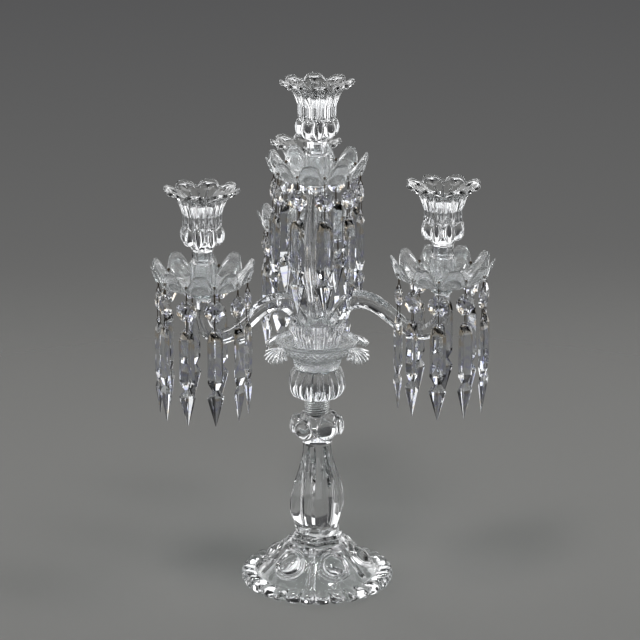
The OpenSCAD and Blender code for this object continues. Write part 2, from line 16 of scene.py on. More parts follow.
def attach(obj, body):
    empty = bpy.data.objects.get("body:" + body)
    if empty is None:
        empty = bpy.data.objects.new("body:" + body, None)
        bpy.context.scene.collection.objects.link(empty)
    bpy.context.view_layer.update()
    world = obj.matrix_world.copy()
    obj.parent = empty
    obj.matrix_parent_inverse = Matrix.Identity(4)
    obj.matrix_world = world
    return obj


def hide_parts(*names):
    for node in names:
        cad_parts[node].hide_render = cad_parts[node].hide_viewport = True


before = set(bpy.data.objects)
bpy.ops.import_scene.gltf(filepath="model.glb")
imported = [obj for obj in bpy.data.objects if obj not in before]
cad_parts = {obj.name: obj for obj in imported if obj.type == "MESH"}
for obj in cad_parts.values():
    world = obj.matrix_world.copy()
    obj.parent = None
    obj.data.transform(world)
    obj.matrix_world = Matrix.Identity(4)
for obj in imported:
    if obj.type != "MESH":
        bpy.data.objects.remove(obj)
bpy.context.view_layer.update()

LOG = logging.getLogger("girandole")
MM = 0.001
TAU = 2.0 * math.pi
# How far a cemented piece enters its neighbour, so that no film of air shows between them
CEMENT = 0.3
# Share of a half circle that a round rib or bead shows between its neighbours
ROUND_SHARE = 0.93
# Share of a petal's width that is valley on each side of it, and the share over which the petal then rises
VALLEY_SHARE, RISE_SHARE = 0.07, 0.33
# Power that makes a smooth hill a plateau with steep ends
PLATEAU = 0.3
# The range that holds most values of a noise
NOISE_LOW, NOISE_HIGH = 0.3, 0.7

Values = np.ndarray | float
Pair = tuple[float, float]
# Radii and heights at each angle
Profile = tuple[np.ndarray, np.ndarray]
# A CAD node, its body and a place in millimetres
Place = tuple[str, str, Matrix]


class Slot(Enum):
    """The record's material slots."""

    CRYSTAL = "crystal"
    DROP = "drop_crystal"
    WIRE = "wire"


class Light(Enum):
    """The four lights, with the angle of the arm that carries each one."""

    LEFT = ("left", 210.0)
    RIGHT = ("right", 330.0)
    REAR = ("rear", 90.0)
    CENTER = ("center", 0.0)

    @property
    def label(self) -> str:
        """The light's word in the names of nodes and bodies."""
        return self.value[0]

    @property
    def angle(self) -> float:
        """The angle of the light's arm in degrees."""
        return self.value[1]


ARMS = (Light.LEFT, Light.RIGHT, Light.REAR)


@dataclass(frozen=True)
class Layout:
    """Levels and distances that several pieces share, in millimetres and degrees."""

    base_turn: float = -12.5
    arm_reach: float = 145.0
    root_r: float = 20.0
    root_z: float = 300.0
    root_slope: float = 54.0
    hub_top: float = 304.0
    side_dish_z: float = 354.0
    center_dish_z: float = 450.0
    center_turn: float = 23.0
    dish_h: float = 30.0
    peg_r: float = 6.0
    peg_in: float = 12.0
    shoulder_r: float = 12.0
    petals: int = 10
    hang_r: float = 46.5
    hole_up: float = 12.55
    ring_down: float = 11.0
    ring_r: float = 5.0

    def dish_z(self, light: Light) -> float:
        """The level of the underside of a light's dish."""
        return self.center_dish_z if light is Light.CENTER else self.side_dish_z

    def at_light(self, light: Light, up: float) -> Matrix:
        """The place at a light's axis, above its dish's underside."""
        reach = 0.0 if light is Light.CENTER else self.arm_reach
        return turned(light.angle) @ moved(reach, 0.0, self.dish_z(light) + up)

    def drops(self) -> Iterator[tuple[Light, int, Matrix]]:
        """Go through the drops.

        Returns:
            Each drop's light, its number and the place of its pin's ring, with +X away from the dish's axis.
        """
        for light in Light:
            center = light is Light.CENTER
            step = 360.0 / self.petals
            for k in range(1, self.petals + center):
                angle = self.center_turn + (k - 1) * step if center else 180.0 + k * step
                place = self.at_light(light, self.hole_up - self.ring_down) @ turned(angle)
                yield light, k, place @ moved(self.hang_r, 0.0, 0.0)


LAYOUT = Layout()


def turned(degrees: float, axis: str = "Z") -> Matrix:
    """A turn about an axis."""
    return Matrix.Rotation(math.radians(degrees), 4, axis)


def moved(x: float, y: float, z: float) -> Matrix:
    """A move in millimetres."""
    return Matrix.Translation(Vector((x, y, z)))


def linear(code: str) -> tuple[float, float, float, float]:
    """Convert an sRGB hex colour to linear RGBA.

    Args:
        code: Six hex digits after a hash sign.

    Returns:
        The linear colour with an alpha of 1.
    """
    parts = [int(code[i : i + 2], 16) / 255.0 for i in (1, 3, 5)]
    red, green, blue = (c / 12.92 if c <= 0.04045 else ((c + 0.055) / 1.055) ** 2.4 for c in parts)
    return red, green, blue, 1.0


def unit(x: Values) -> Values:
    """Clip to the range from 0 to 1."""
    return np.clip(x, 0.0, 1.0)


def eased(a: float, b: float, t: Values) -> Values:
    """A value that eases from a to b as t goes from 0 to 1."""
    return a + (b - a) * (0.5 - 0.5 * np.cos(math.pi * unit(t)))


def keyed(keys: Sequence[Pair], at: float) -> float:
    """A radius that eases from one (height, radius) key to the next.

    Args:
        keys: The keys in rising order of height.
        at: The height.

    Returns:
        The radius there.
    """
    for (z0, r0), (z1, r1) in zip(keys, keys[1:]):
        if at <= z1:
            return float(eased(r0, r1, (at - z0) / (z1 - z0)))
    return keys[-1][1]


def bump(x: Values, low: float, high: float) -> Values:
    """A smooth hill that rises from 0 at low to 1 midway and falls to 0 at high."""
    return np.sin(math.pi * unit((x - low) / (high - low))) ** 2


def circle_angles(count: int) -> np.ndarray:
    """Evenly spaced angles once round, in radians."""
    return np.arange(count) * TAU / count


def across(angles: np.ndarray, count: int, middle: float = 0.0) -> np.ndarray:
    """Where each angle lies across its lobe.

    Args:
        angles: Angles in radians.
        count: Number of lobes round the axis.
        middle: The angle in degrees of the middle of one lobe.

    Returns:
        Values from -1 to 1, with 0 at the middle of a lobe.
    """
    phase = (angles - math.radians(middle)) * count / TAU + 0.5
    return 2.0 * (phase - np.floor(phase)) - 1.0


def scallop(angles: np.ndarray, count: int) -> np.ndarray:
    """How far round lobes stand out: 1 on their crests, least in the valleys, of which one is at angle 0."""
    return np.sqrt(1.0 - (ROUND_SHARE * across(angles, count, 180.0 / count)) ** 2)


def domed(inside: np.ndarray, steep: float) -> np.ndarray:
    """A lens's height from 0 at its edge to 1 in its middle. The steep share of it rises at the edge."""
    return (1.0 - steep) * inside + steep * np.sqrt(inside)


def petal(x: np.ndarray) -> np.ndarray:
    """The share of a petal's reach at x petals from a valley, from 0 in the valley to 1 over the petal."""
    return np.sin(math.pi / 2.0 * unit((0.5 - np.abs(x - 0.5) - VALLEY_SHARE) / RISE_SHARE))


def ring(angles: np.ndarray, radius: Values, height: Values) -> np.ndarray:
    """One closed ring of points about the axis.

    Args:
        angles: The points' angles in radians.
        radius: One radius, or one for each angle.
        height: One height, or one for each angle.

    Returns:
        The points.
    """
    radius = np.broadcast_to(radius, angles.shape)
    height = np.broadcast_to(height, angles.shape)
    return np.stack([radius * np.cos(angles), radius * np.sin(angles), height], axis=1)


def rings(angles: np.ndarray, profile: Sequence[tuple[Values, Values]]) -> list[np.ndarray]:
    """The closed rings of a profile of (radius, height) pairs."""
    return [ring(angles, radius, height) for radius, height in profile]


def rounded_rim(under: Profile, over: Profile, out: Profile) -> list[Profile]:
    """Close a rim from its underside to its upper side by a half-round edge.

    Args:
        under: Where the underside ends.
        over: Where the upper side begins.
        out: The edge's outermost line.

    Returns:
        The rows between.
    """
    rows = []
    for turn in np.radians((-66.0, -40.0, -14.0, 14.0, 40.0, 66.0)):
        row = []
        for low, high, far in zip(under, over, out):
            middle = (low + high) / 2.0
            row.append(middle + (high - low) / 2.0 * math.sin(turn) + (far - middle) * math.cos(turn))
        rows.append((row[0], row[1]))
    return rows


def shown(name: str, data: bpy.types.ID) -> bpy.types.Object:
    """Put an object in the scene.

    Args:
        name: The object's name.
        data: Its mesh, lamp or camera.

    Returns:
        The object.
    """
    obj = bpy.data.objects.new(name, data)
    bpy.context.scene.collection.objects.link(obj)
    return obj


@dataclass
class Solid:
    """Closed surfaces: points in millimetres and faces that point outward."""

    points: np.ndarray
    faces: list[Sequence[int]]

    def placed(self, matrix: Matrix) -> "Solid":
        """The same solid moved by a matrix in millimetres."""
        m = np.array(matrix)
        return Solid(self.points @ m[:3, :3].T + m[:3, 3], self.faces)

    @staticmethod
    def joined(solids: Sequence["Solid"]) -> "Solid":
        """Gather several solids in one.

        Args:
            solids: The solids.

        Returns:
            One solid with all points and faces.
        """
        faces: list[Sequence[int]] = []
        start = 0
        for solid in solids:
            faces += [[start + i for i in face] for face in solid.faces]
            start += len(solid.points)
        return Solid(np.concatenate([s.points for s in solids]), faces)

    @staticmethod
    def lofted(rows: Sequence[np.ndarray], closed: bool = False) -> "Solid":
        """Skin a solid over rings that turn anticlockwise about their way of travel.

        Args:
            rows: The rings, each with the same number of points.
            closed: Join the last ring to the first, in place of a fan over each end.

        Returns:
            The solid.
        """
        count, last = len(rows[0]), len(rows) - 1
        i = np.arange(count)
        j = (i + 1) % count
        end = last * count
        pairs = [(k * count, (k + 1) * count) for k in range(last)] + ([(end, 0)] if closed else [])
        faces = np.concatenate([np.stack([a + i, a + j, b + j, b + i], axis=1) for a, b in pairs]).tolist()
        points = np.concatenate(rows)
        if not closed:
            low = np.full(count, len(points))
            points = np.concatenate([points, [rows[0].mean(axis=0), rows[-1].mean(axis=0)]])
            faces += np.stack([low, j, i], axis=1).tolist()
            faces += np.stack([low + 1, end + i, end + j], axis=1).tolist()
        return Solid(points, faces)

    @staticmethod
    def tube(path: np.ndarray, radius: float, sides: int = 12, closed: bool = False) -> "Solid":
        """Sweep a round wire along a path.

        Args:
            path: Points on the wire's middle line.
            radius: The wire's radius.
            sides: Points round the wire.
            closed: The path ends where it starts.

        Returns:
            The wire.
        """
        if closed:
            ahead = np.roll(path, -1, axis=0) - np.roll(path, 1, axis=0)
        else:
            ahead = np.gradient(path, axis=0)
        ahead /= np.linalg.norm(ahead, axis=1, keepdims=True)
        # No wire starts along this way, so that it gives a side
        side = np.cross(ahead[0], [0.31, 0.83, 0.46])
        turn = circle_angles(sides)[:, None]
        rows = []
        for point, along in zip(path, ahead):
            side = side - along * np.dot(side, along)
            side /= np.linalg.norm(side)
            rows.append(point + radius * (np.cos(turn) * side + np.sin(turn) * np.cross(along, side)))
        return Solid.lofted(rows, closed)

    @staticmethod
    def rod(radius: float, low: float, high: float, sides: int = 48, chamfer: float = 0.0) -> "Solid":
        """Make a round rod along Z.

        Args:
            radius: The rod's radius.
            low: The level of its lower end.
            high: The level of its upper end.
            sides: Points round the rod.
            chamfer: The chamfer of its upper end, if it has one.

        Returns:
            The rod.
        """
        profile = [(radius, low), (radius, high - chamfer)]
        if chamfer:
            profile.append((radius - chamfer, high))
        return Solid.lofted(rings(circle_angles(sides), profile))

    def mesh(self, name: str, crease: float) -> bpy.types.Mesh:
        """Make a mesh in metres.

        Args:
            name: The mesh's name.
            crease: The bend in degrees above which an edge stays sharp.

        Returns:
            The mesh, smooth between its sharp edges.
        """
        mesh = bpy.data.meshes.new(name)
        mesh.from_pydata((self.points * MM).tolist(), [], self.faces)
        mesh.shade_smooth()
        mesh.set_sharp_from_angle(angle=math.radians(crease))
        mesh.update()
        return mesh


def drilled(mesh: bpy.types.Mesh, cutters: Sequence[Solid]) -> bpy.types.Mesh:
    """Cut solids out of a mesh.

    Args:
        mesh: The mesh to drill, which is replaced.
        cutters: What is cut away, with no two of them touching.

    Returns:
        The drilled mesh, without materials.
    """
    stock = shown("stock", mesh)
    tool = shown("tool", Solid.joined(cutters).mesh("tool", 30.0))
    cut = stock.modifiers.new("cut", "BOOLEAN")
    cut.operation = "DIFFERENCE"
    cut.solver = "MANIFOLD"
    cut.object = tool
    bpy.context.view_layer.update()
    result = bpy.data.meshes.new_from_object(stock.evaluated_get(bpy.context.evaluated_depsgraph_get()))
    name, drill = mesh.name, tool.data
    bpy.data.objects.remove(stock)
    bpy.data.objects.remove(tool)
    bpy.data.meshes.remove(mesh)
    bpy.data.meshes.remove(drill)
    result.name = name
    # The cut leaves an empty material slot
    result.materials.clear()
    return result


def add_node(
    tree: bpy.types.NodeTree,
    kind: str,
    settings: dict[str, object] | None = None,
    links: dict[str | int, bpy.types.NodeSocket] | None = None,
) -> bpy.types.Node:
    """Add a node to a tree.

    Args:
        tree: The node tree.
        kind: The node's type name.
        settings: Values for the node's input sockets or, where it has no such socket, its properties.
        links: Output sockets to link, by the name or number of the input.

    Returns:
        The node.
    """
    node = tree.nodes.new(kind)
    for key, value in (settings or {}).items():
        if key in node.inputs:
            node.inputs[key].default_value = value
        else:
            setattr(node, key, value)
    for key, socket in (links or {}).items():
        tree.links.new(socket, node.inputs[key])
    return node


def new_material(name: str) -> tuple[bpy.types.Material, bpy.types.NodeTree]:
    """Make an empty node material.

    Args:
        name: The material's name.

    Returns:
        The material and its tree.
    """
    material = bpy.data.materials.new(name)
    material.use_nodes = True
    material.node_tree.nodes.clear()
    return material, material.node_tree


def spots_of(size_mm: float, detail: float) -> dict[str, object]:
    """A noise's settings for spots of a real size, with octaves of finer detail."""
    return {"Scale": 1.0 / (size_mm * MM), "Detail": detail}


def spread_over(low: float, high: float) -> dict[str, object]:
    """A map's settings that spread most of a noise over a range."""
    return {"From Min": NOISE_LOW, "From Max": NOISE_HIGH, "To Min": low, "To Max": high}


def set_stops(ramp: bpy.types.Node, stops: Sequence[tuple[float, str]]) -> bpy.types.NodeSocket:
    """Give a ramp its colours.

    Args:
        ramp: The ramp's node.
        stops: Where each colour lies and the colour, in rising order.

    Returns:
        The ramp's colour.
    """
    ends = ramp.color_ramp.elements
    ends[1].position = stops[-1][0]
    ends[0].position = stops[0][0]
    for at, _ in stops[1:-1]:
        ends.new(at)
    for end, (_, tint) in zip(ends, stops):
        end.color = linear(tint)
    return ramp.outputs["Color"]


@dataclass(frozen=True)
class GlassFinish:
    """Lead glass. Lamp light passes straight through it, so that nothing behind it is left in full shade.

    Attributes:
        name: The material and how it was worked.
        tint: The glass's own colour.
        shade: What is left of lamp light behind it.
        ior: Refractive index, about 1.55 for lead crystal.
        roughness: Range over the surface.
        ripple_mm: Width of the ripples left by the mould or the wheel.
        ripple_depth_mm: Depth of these ripples.
        fire: Painted fire, if there is any: where each tint lies in a noise and the tint. The tints are
            painted glints that stand in for the colours of light split by the facets.
        fire_mm: Size of a spot of painted fire.
        passing: Share of the light that passes. The rest is scattered by the grain.
    """

    name: str
    tint: str
    shade: str
    ior: float
    roughness: Pair
    ripple_mm: float
    ripple_depth_mm: float
    fire: tuple[tuple[float, str], ...] = ()
    fire_mm: float = 13.0
    passing: float = 1.0

    def material(self) -> bpy.types.Material:
        """Build the material.

        Returns:
            The material, with its patterns in the piece's own coordinates.
        """
        material, tree = new_material(self.name)
        place = {"Vector": add_node(tree, "ShaderNodeTexCoord").outputs["Object"]}
        waves = add_node(tree, "ShaderNodeTexNoise", spots_of(self.ripple_mm, 1.0), place)
        ripple = add_node(
            tree, "ShaderNodeBump", {"Distance": self.ripple_depth_mm * MM}, {"Height": waves.outputs["Fac"]}
        )
        wear = add_node(tree, "ShaderNodeTexNoise", spots_of(3.0 * self.ripple_mm, 3.0), place)
        gloss = add_node(
            tree, "ShaderNodeMapRange", spread_over(*self.roughness), {"Value": wear.outputs["Fac"]}
        )
        glass = add_node(
            tree,
            "ShaderNodeBsdfPrincipled",
            {"Base Color": linear(self.tint), "IOR": self.ior, "Transmission Weight": self.passing},
            {"Roughness": gloss.outputs["Result"], "Normal": ripple.outputs["Normal"]},
        )
        if self.fire:
            # Painted fire: tints placed by a noise in the base colour stand in for the coloured glints of
            # light split by the facets
            fire = add_node(tree, "ShaderNodeTexNoise", spots_of(self.fire_mm, 0.0), place)
            ramp = add_node(tree, "ShaderNodeValToRGB", None, {"Fac": fire.outputs["Fac"]})
            tree.links.new(set_stops(ramp, self.fire), glass.inputs["Base Color"])
        clear = add_node(tree, "ShaderNodeBsdfTransparent", {"Color": linear(self.shade)})
        rays = add_node(tree, "ShaderNodeLightPath")
        mixed = add_node(
            tree,
            "ShaderNodeMixShader",
            None,
            {0: rays.outputs["Is Shadow Ray"], 1: glass.outputs["BSDF"], 2: clear.outputs["BSDF"]},
        )
        add_node(tree, "ShaderNodeOutputMaterial", None, {"Surface": mixed.outputs["Shader"]})
        return material


@dataclass(frozen=True)
class WireFinish:
    """Brass wire under a dark patina that is worn thin in spots.

    Attributes:
        name: The material and how it was worked.
        dark: Colour of the full patina.
        worn: Colour where the patina is thin.
        roughness: Range over the surface.
        spot_mm: Size of the worn spots.
    """

    name: str
    dark: str
    worn: str
    roughness: Pair
    spot_mm: float

    def material(self) -> bpy.types.Material:
        """Build the material.

        Returns:
            The material, with its patterns in the piece's own coordinates.
        """
        material, tree = new_material(self.name)
        place = {"Vector": add_node(tree, "ShaderNodeTexCoord").outputs["Object"]}
        spots = add_node(tree, "ShaderNodeTexNoise", spots_of(self.spot_mm, 4.0), place).outputs["Fac"]
        ramp = add_node(tree, "ShaderNodeValToRGB", None, {"Fac": spots})
        color = set_stops(ramp, ((NOISE_LOW, self.dark), (NOISE_HIGH, self.worn)))
        gloss = add_node(tree, "ShaderNodeMapRange", spread_over(*self.roughness), {"Value": spots})
        metal = add_node(
            tree,
            "ShaderNodeBsdfPrincipled",
            {"Metallic": 1.0},
            {"Base Color": color, "Roughness": gloss.outputs["Result"]},
        )
        add_node(tree, "ShaderNodeOutputMaterial", None, {"Surface": metal.outputs["BSDF"]})
        return material


Finish = GlassFinish | WireFinish

# Smooth glass from a fire-polished mould: clear, with a faint pull in what is seen through it
PRESSED = GlassFinish("lead_crystal_fire_polished", "#f9fafb", "#dfe3e3", 1.55, (0.0, 0.02), 6.0, 0.05)
# Glass from a mould with a fine grain: whiter than smooth glass, because it scatters what is seen through it.
# The grain is drawn at 2.2 mm, because the real one is too fine to show.
GRAINED = GlassFinish(
    "lead_crystal_mould_grained", "#fafbfc", "#dfe3e3", 1.55, (0.1, 0.2), 2.2, 0.2, passing=0.97
)
# Painted fire: pale amber and blue-violet tints in the glass's colour that stand in for the coloured glints a
# prism throws by splitting light, with clear glass between them
PAINTED_FIRE = (
    (0.29, "#fdebd0"), (0.33, "#f8fafc"), (0.6, "#f8fafc"), (0.64, "#cdd7fb"), (0.67, "#e2d9fb"),
    (0.7, "#f8fafc"),
)
# Wheel-cut and polished facets: sharper and clearer than the mould's glass, so that they sparkle. Their
# colour carries the painted fire
CUT = GlassFinish("lead_crystal_wheel_cut", "#f8fafc", "#e4e8ea", 1.58, (0.0, 0.008), 14.0, 0.004, PAINTED_FIRE)
# Glass ground with grit for a joint: cloudy, so that the neck reads as a pale band.
# The grit's marks are drawn at 1.1 mm, because the real ones are too fine to show.
GROUND = GlassFinish("lead_crystal_ground", "#f1f4f4", "#c9cdcd", 1.55, (0.14, 0.3), 1.1, 0.03)
# Darkened brass: the pins and links stand out nearly black against the glass
PATINA = WireFinish("brass_wire_patinated", "#2b2622", "#5d5042", (0.34, 0.55), 1.5)


class SubAssembly(ABC):
    """A part of the girandole that builds its mesh once, dresses it and puts it in one or more places.

    Attributes:
        node: The CAD node of a part that is there once.
        look: The last word in the names of the part's pieces.
        turn: The turn about the axis of a part that is there once, in degrees.
        slot: The record's material slot. Nothing in this script reads it.
        coats: The part's finishes, in the order of the mesh's material numbers.
        crease: The bend in degrees above which an edge of the mesh stays sharp.
    """

    node: ClassVar[str] = ""
    look: ClassVar[str] = ""
    turn: ClassVar[float] = 0.0
    slot: ClassVar[Slot] = Slot.CRYSTAL
    coats: ClassVar[tuple[Finish, ...]] = (PRESSED,)
    crease: ClassVar[float] = 30.0

    @abstractmethod
    def build(self) -> bpy.types.Mesh:
        """Build the mesh in the part's own coordinates."""

    def dress(self, mesh: bpy.types.Mesh, materials: dict[str, bpy.types.Material]) -> None:
        """Give the mesh its finishes, from the materials by name."""
        for coat in self.coats:
            mesh.materials.append(materials[coat.name])

    def places(self) -> Iterator[Place]:
        """Yield the CAD node, the body and the place of each piece."""
        yield self.node, "stand", turned(self.turn)

    def assemble(self, materials: dict[str, bpy.types.Material]) -> None:
        """Build, dress and place the part's pieces.

        Args:
            materials: The materials by name.
        """
        mesh = self.build()
        self.dress(mesh, materials)
        for node, body, place in self.places():
            obj = shown(f"{node}_{self.look}", mesh)
            world = place.copy()
            world.translation *= MM
            obj.matrix_world = world
            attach(obj, body)
            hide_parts(node)
            LOG.info("%s: %d faces on body %s", obj.name, len(mesh.polygons), body)


@dataclass
class Foot(SubAssembly):
    """Beaded foot with a hollow dome of six ringed lenses and a stepped six-sided collar."""

    node = "foot"
    look = "pressed"
    turn = LAYOUT.base_turn
    crease = 36.0
    foot_r: float = 84.0
    rim_beads: int = 30
    dome_r: float = 68.0
    dome_foot_h: float = 12.0
    dome_top_r: float = 31.5
    dome_h: float = 46.0
    dome_bend: float = 1.1
    wall: float = 11.0
    hollow_cap: float = 3.0
    hollow_in: float = 3.0
    seat: float = 1.0
    seat_out: Pair = (1.5, 2.5)
    lenses: int = 6
    lens_r: float = 12.0
    lens_at: float = 48.0
    lens_step: float = 0.5
    lens_rise: float = 6.0
    lens_steep: float = 0.5
    rings: int = 2
    rings_w: float = 6.5
    ring_step: float = 0.4
    ring_h: float = 1.5
    ring_fade: float = 0.8
    rib_w: float = 2.6
    rib_h: float = 0.9
    rib_end: Pair = (2.0, 3.0)
    collar_r: float = 30.0
    collar_sides: int = 6
    collar_inset: float = 3.0
    collar_step: float = 4.5
    collar_edge: float = 0.5
    points: int = 720
    hollow_rows: int = 30
    dome_rows: int = 130
    # The rim's outline over a bead and between two beads, as (radius, height) pairs
    crest: tuple[Pair, ...] = (
        (80.4, 0.0), (82.4, 0.5), (83.6, 2.0), (84.0, 4.3), (83.8, 7.4), (82.8, 10.2), (81.0, 12.1),
        (78.6, 13.0), (75.2, 13.1), (72.0, 12.9), (70.0, 12.5), (68.8, 11.8), (68.2, 11.2),
    )
    groove: tuple[Pair, ...] = (
        (75.8, 0.0), (77.0, 0.5), (77.8, 1.6), (78.1, 3.0), (77.9, 4.6), (77.2, 6.0), (76.0, 7.0),
        (74.6, 7.7), (72.8, 8.4), (71.0, 9.2), (69.8, 9.9), (68.8, 10.5), (68.2, 11.0),
    )

    def dome_z(self, r: float) -> float:
        """The dome's height at a radius."""
        t = (self.dome_r - r) / (self.dome_r - self.dome_top_r)
        return self.dome_foot_h + (self.dome_h - self.dome_foot_h) * max(t, 0.0) ** self.dome_bend

    def under_z(self, r: float) -> float:
        """Height of the moulded hollow under the dome at a radius."""
        cap = self.hollow_cap * (1.0 - (min(r, self.dome_top_r) / self.dome_top_r) ** 2)
        return max(self.seat, self.dome_z(max(r, self.dome_top_r)) - self.wall) + cap

    def relief(self, r: float, a: np.ndarray, tilt: float) -> np.ndarray:
        """How far the lenses, their rings and the three fine ribs between them stand out of the dome.

        Args:
            r: Radius of the ring of points.
            a: Their angles in radians.
            tilt: Slope of the dome in radians.

        Returns:
            The relief at each angle.
        """
        half = math.pi / self.lenses
        off = across(a, self.lenses) * half
        apart = np.hypot(r * np.sin(off), (r * np.cos(off) - self.lens_at) / math.cos(tilt))
        inside = unit(1.0 - (apart / self.lens_r) ** 2)
        lens = self.lens_step + self.lens_rise * domed(inside, self.lens_steep)
        rank = unit((apart - self.lens_r) / self.rings_w)
        rounds = self.ring_step + self.ring_h * np.sin(math.pi * self.rings * rank) ** 2
        fade = unit((self.lens_r + self.rings_w + self.ring_fade - apart) / self.ring_fade)
        side = r * np.sin(half - np.abs(off))
        ribs = self.rib_h * 0.5 * (1.0 + np.cos(TAU * side / self.rib_w)) * (side < 1.5 * self.rib_w)
        end, run = self.rib_end
        ribs = ribs * unit((self.dome_r - end - r) / run)
        return np.where(apart < self.lens_r, lens, np.maximum(rounds * fade, ribs))

    def build(self) -> bpy.types.Mesh:
        """Build the mesh from the hollow, round the rim and up the dome to the collar.

        Returns:
            The mesh.
        """
        a = circle_angles(self.points)
        lobe = scallop(a, self.rim_beads)
        lobe = (lobe - lobe.min()) / (1.0 - lobe.min())
        scale = self.foot_r / max(r for r, _ in self.crest)
        hollow = np.linspace(self.hollow_in, self.dome_r - self.hollow_in, self.hollow_rows)
        rows = [ring(a, r, self.under_z(r)) for r in hollow]
        near, far = self.seat_out
        rows += rings(a, ((self.dome_r + near, self.seat), (self.dome_r + far, 0.0)))
        rows += [
            ring(a, scale * (r0 + (r1 - r0) * lobe), z0 + (z1 - z0) * lobe)
            for (r1, z1), (r0, z0) in zip(self.crest, self.groove)
        ]
        for r in np.linspace(self.dome_r - 0.4, self.dome_top_r, self.dome_rows):
            tilt = math.atan2(self.dome_z(r - 0.5) - self.dome_z(r + 0.5), 1.0)
            out = self.relief(r, a, tilt) * min(1.0, (r - self.dome_top_r) / 2.0)
            rows.append(ring(a, r + out * math.sin(tilt), self.dome_z(r) + out * math.cos(tilt)))
        sides = self.collar_sides
        hexagon = math.cos(math.pi / sides) / np.cos(across(a, sides) * math.pi / sides)
        step, edge = self.collar_step, self.collar_edge
        for r, z in ((self.collar_r, 0.05), (self.collar_r - self.collar_inset, step + 0.02)):
            top = step if z < step else 2.0 * step
            profile = ((r, z), (r, top - edge), (r - edge, top))
            rows += [ring(a, at * hexagon, self.dome_h + up) for at, up in profile]
        return Solid.lofted(rows).mesh("foot_mesh", self.crease)


@dataclass
class Stem(SubAssembly):
    """Fluted baluster, knop with six lenses and ground neck."""

    node = "stem"
    look = "baluster"
    turn = LAYOUT.base_turn
    coats = (PRESSED, GROUND)
    crease = 33.0
    sides: int = 6
    foot_z: float = 55.0
    knop_z: float = 157.0
    neck_z: float = 192.0
    top_z: float = 212.0
    foot_r: float = 24.0
    belly_r: float = 31.5
    belly_up: float = 32.0
    top_r: float = 16.0
    flute_depth: float = 0.155
    fillet: float = 0.13
    arch_up: float = 3.0
    arch_h: float = 9.0
    arch_run: float = 5.0
    knop_r: float = 25.5
    lens_z: float = 178.7
    lens_w: float = 11.0
    lens_h: float = 10.6
    lens_rise: float = 4.5
    lens_steep: float = 0.6
    lens_edge: Pair = (1.12, 0.14)
    neck_r: float = 13.6
    ground_up: float = 1.0
    thread_mm: float = 2.6
    thread_starts: float = 2.0
    thread_depth: float = 0.3
    points: int = 480
    baluster_rows: int = 110
    knop_rows: int = 100
    neck_rows: int = 90

    def baluster(self, z: float, a: np.ndarray) -> np.ndarray:
        """Radii of the baluster: hollow flutes with arched lower ends between narrow fillets.

        Args:
            z: The height.
            a: Angles in radians.

        Returns:
            The radius at each angle.
        """
        belly_z = self.foot_z + self.belly_up
        keys = ((self.foot_z, self.foot_r), (belly_z, self.belly_r), (self.knop_z + 1.0, self.top_r))
        x = np.minimum(1.0, np.abs(across(a, self.sides)) / (1.0 - self.fillet))
        arch = unit((z - self.foot_z - self.arch_up - self.arch_h * x**2) / self.arch_run)
        return keyed(keys, z) * (1.0 - self.flute_depth * (1.0 - x**2) * arch * (2.0 - arch))

    def knop(self, z: float, a: np.ndarray) -> np.ndarray:
        """Radii of the knop: a round body with lenses that stand out of it.

        Args:
            z: The height.
            a: Angles in radians.

        Returns:
            The radius at each angle.
        """
        body = keyed(((self.knop_z, self.top_r), (self.lens_z, self.knop_r), (self.neck_z, self.neck_r)), z)
        off = across(a, self.sides) * math.pi / self.sides
        apart = np.hypot(self.knop_r * np.tan(off) / self.lens_w, (z - self.lens_z) / self.lens_h)
        inside = unit(1.0 - apart**2)
        lens = (self.knop_r + self.lens_rise * domed(inside, self.lens_steep)) / np.cos(off)
        end, run = self.lens_edge
        edge = unit((end - apart) / run)
        edge = edge * edge * (3.0 - 2.0 * edge)
        return np.maximum(body, body + (lens - body) * edge)

    def build(self) -> bpy.types.Mesh:
        """Build the mesh, with the second material number on the ground neck.

        Returns:
            The mesh.
        """
        a = circle_angles(self.points)
        levels = np.linspace(self.foot_z - CEMENT, self.knop_z, self.baluster_rows)
        rows = [ring(a, self.baluster(z, a), z) for z in levels]
        levels = np.linspace(self.knop_z, self.neck_z, self.knop_rows)[1:]
        rows += [ring(a, self.knop(z, a), z) for z in levels]
        for z in np.linspace(self.neck_z, self.top_z + CEMENT, self.neck_rows)[1:]:
            turn = TAU * (z - self.neck_z) / self.thread_mm - self.thread_starts * a
            grip = bump(z, self.neck_z, self.top_z) ** PLATEAU
            rows.append(ring(a, self.neck_r + self.thread_depth * np.sin(turn) * grip, z))
        mesh = Solid.lofted(rows).mesh("stem_mesh", self.crease)
        middles = np.empty(3 * len(mesh.polygons))
        mesh.polygons.foreach_get("center", middles)
        ground = middles[2::3] > (self.neck_z + self.ground_up) * MM
        mesh.polygons.foreach_set("material_index", ground.astype(np.int32))
        return mesh


@dataclass
class GadroonKnop(SubAssembly):
    """Flattened knop of twelve round ribs under the bowl."""

    node = "gadroon_knop"
    look = "pressed"
    crease = 40.0
    low: float = 212.0
    height: float = 32.0
    radius: float = 31.0
    end_r: float = 23.0
    ribs: int = 12
    rib_depth: float = 7.0
    rib_bend: float = 0.7
    points: int = 480
    levels: int = 64

    def build(self) -> bpy.types.Mesh:
        """Build the mesh.

        Returns:
            The mesh.
        """
        a = circle_angles(self.points)
        valley = 1.0 - scallop(a, self.ribs)
        rows = []
        for t in np.linspace(-1.0, 1.0, self.levels) * math.pi / 2.0:
            swell = math.cos(t)
            r = self.end_r + (self.radius - self.end_r) * swell
            r = r - self.rib_depth * max(swell, 0.0) ** self.rib_bend * valley
            rows.append(ring(a, r, self.low + self.height / 2.0 * (1.0 + math.sin(t))))
        return Solid.lofted(rows).mesh("gadroon_mesh", self.crease)


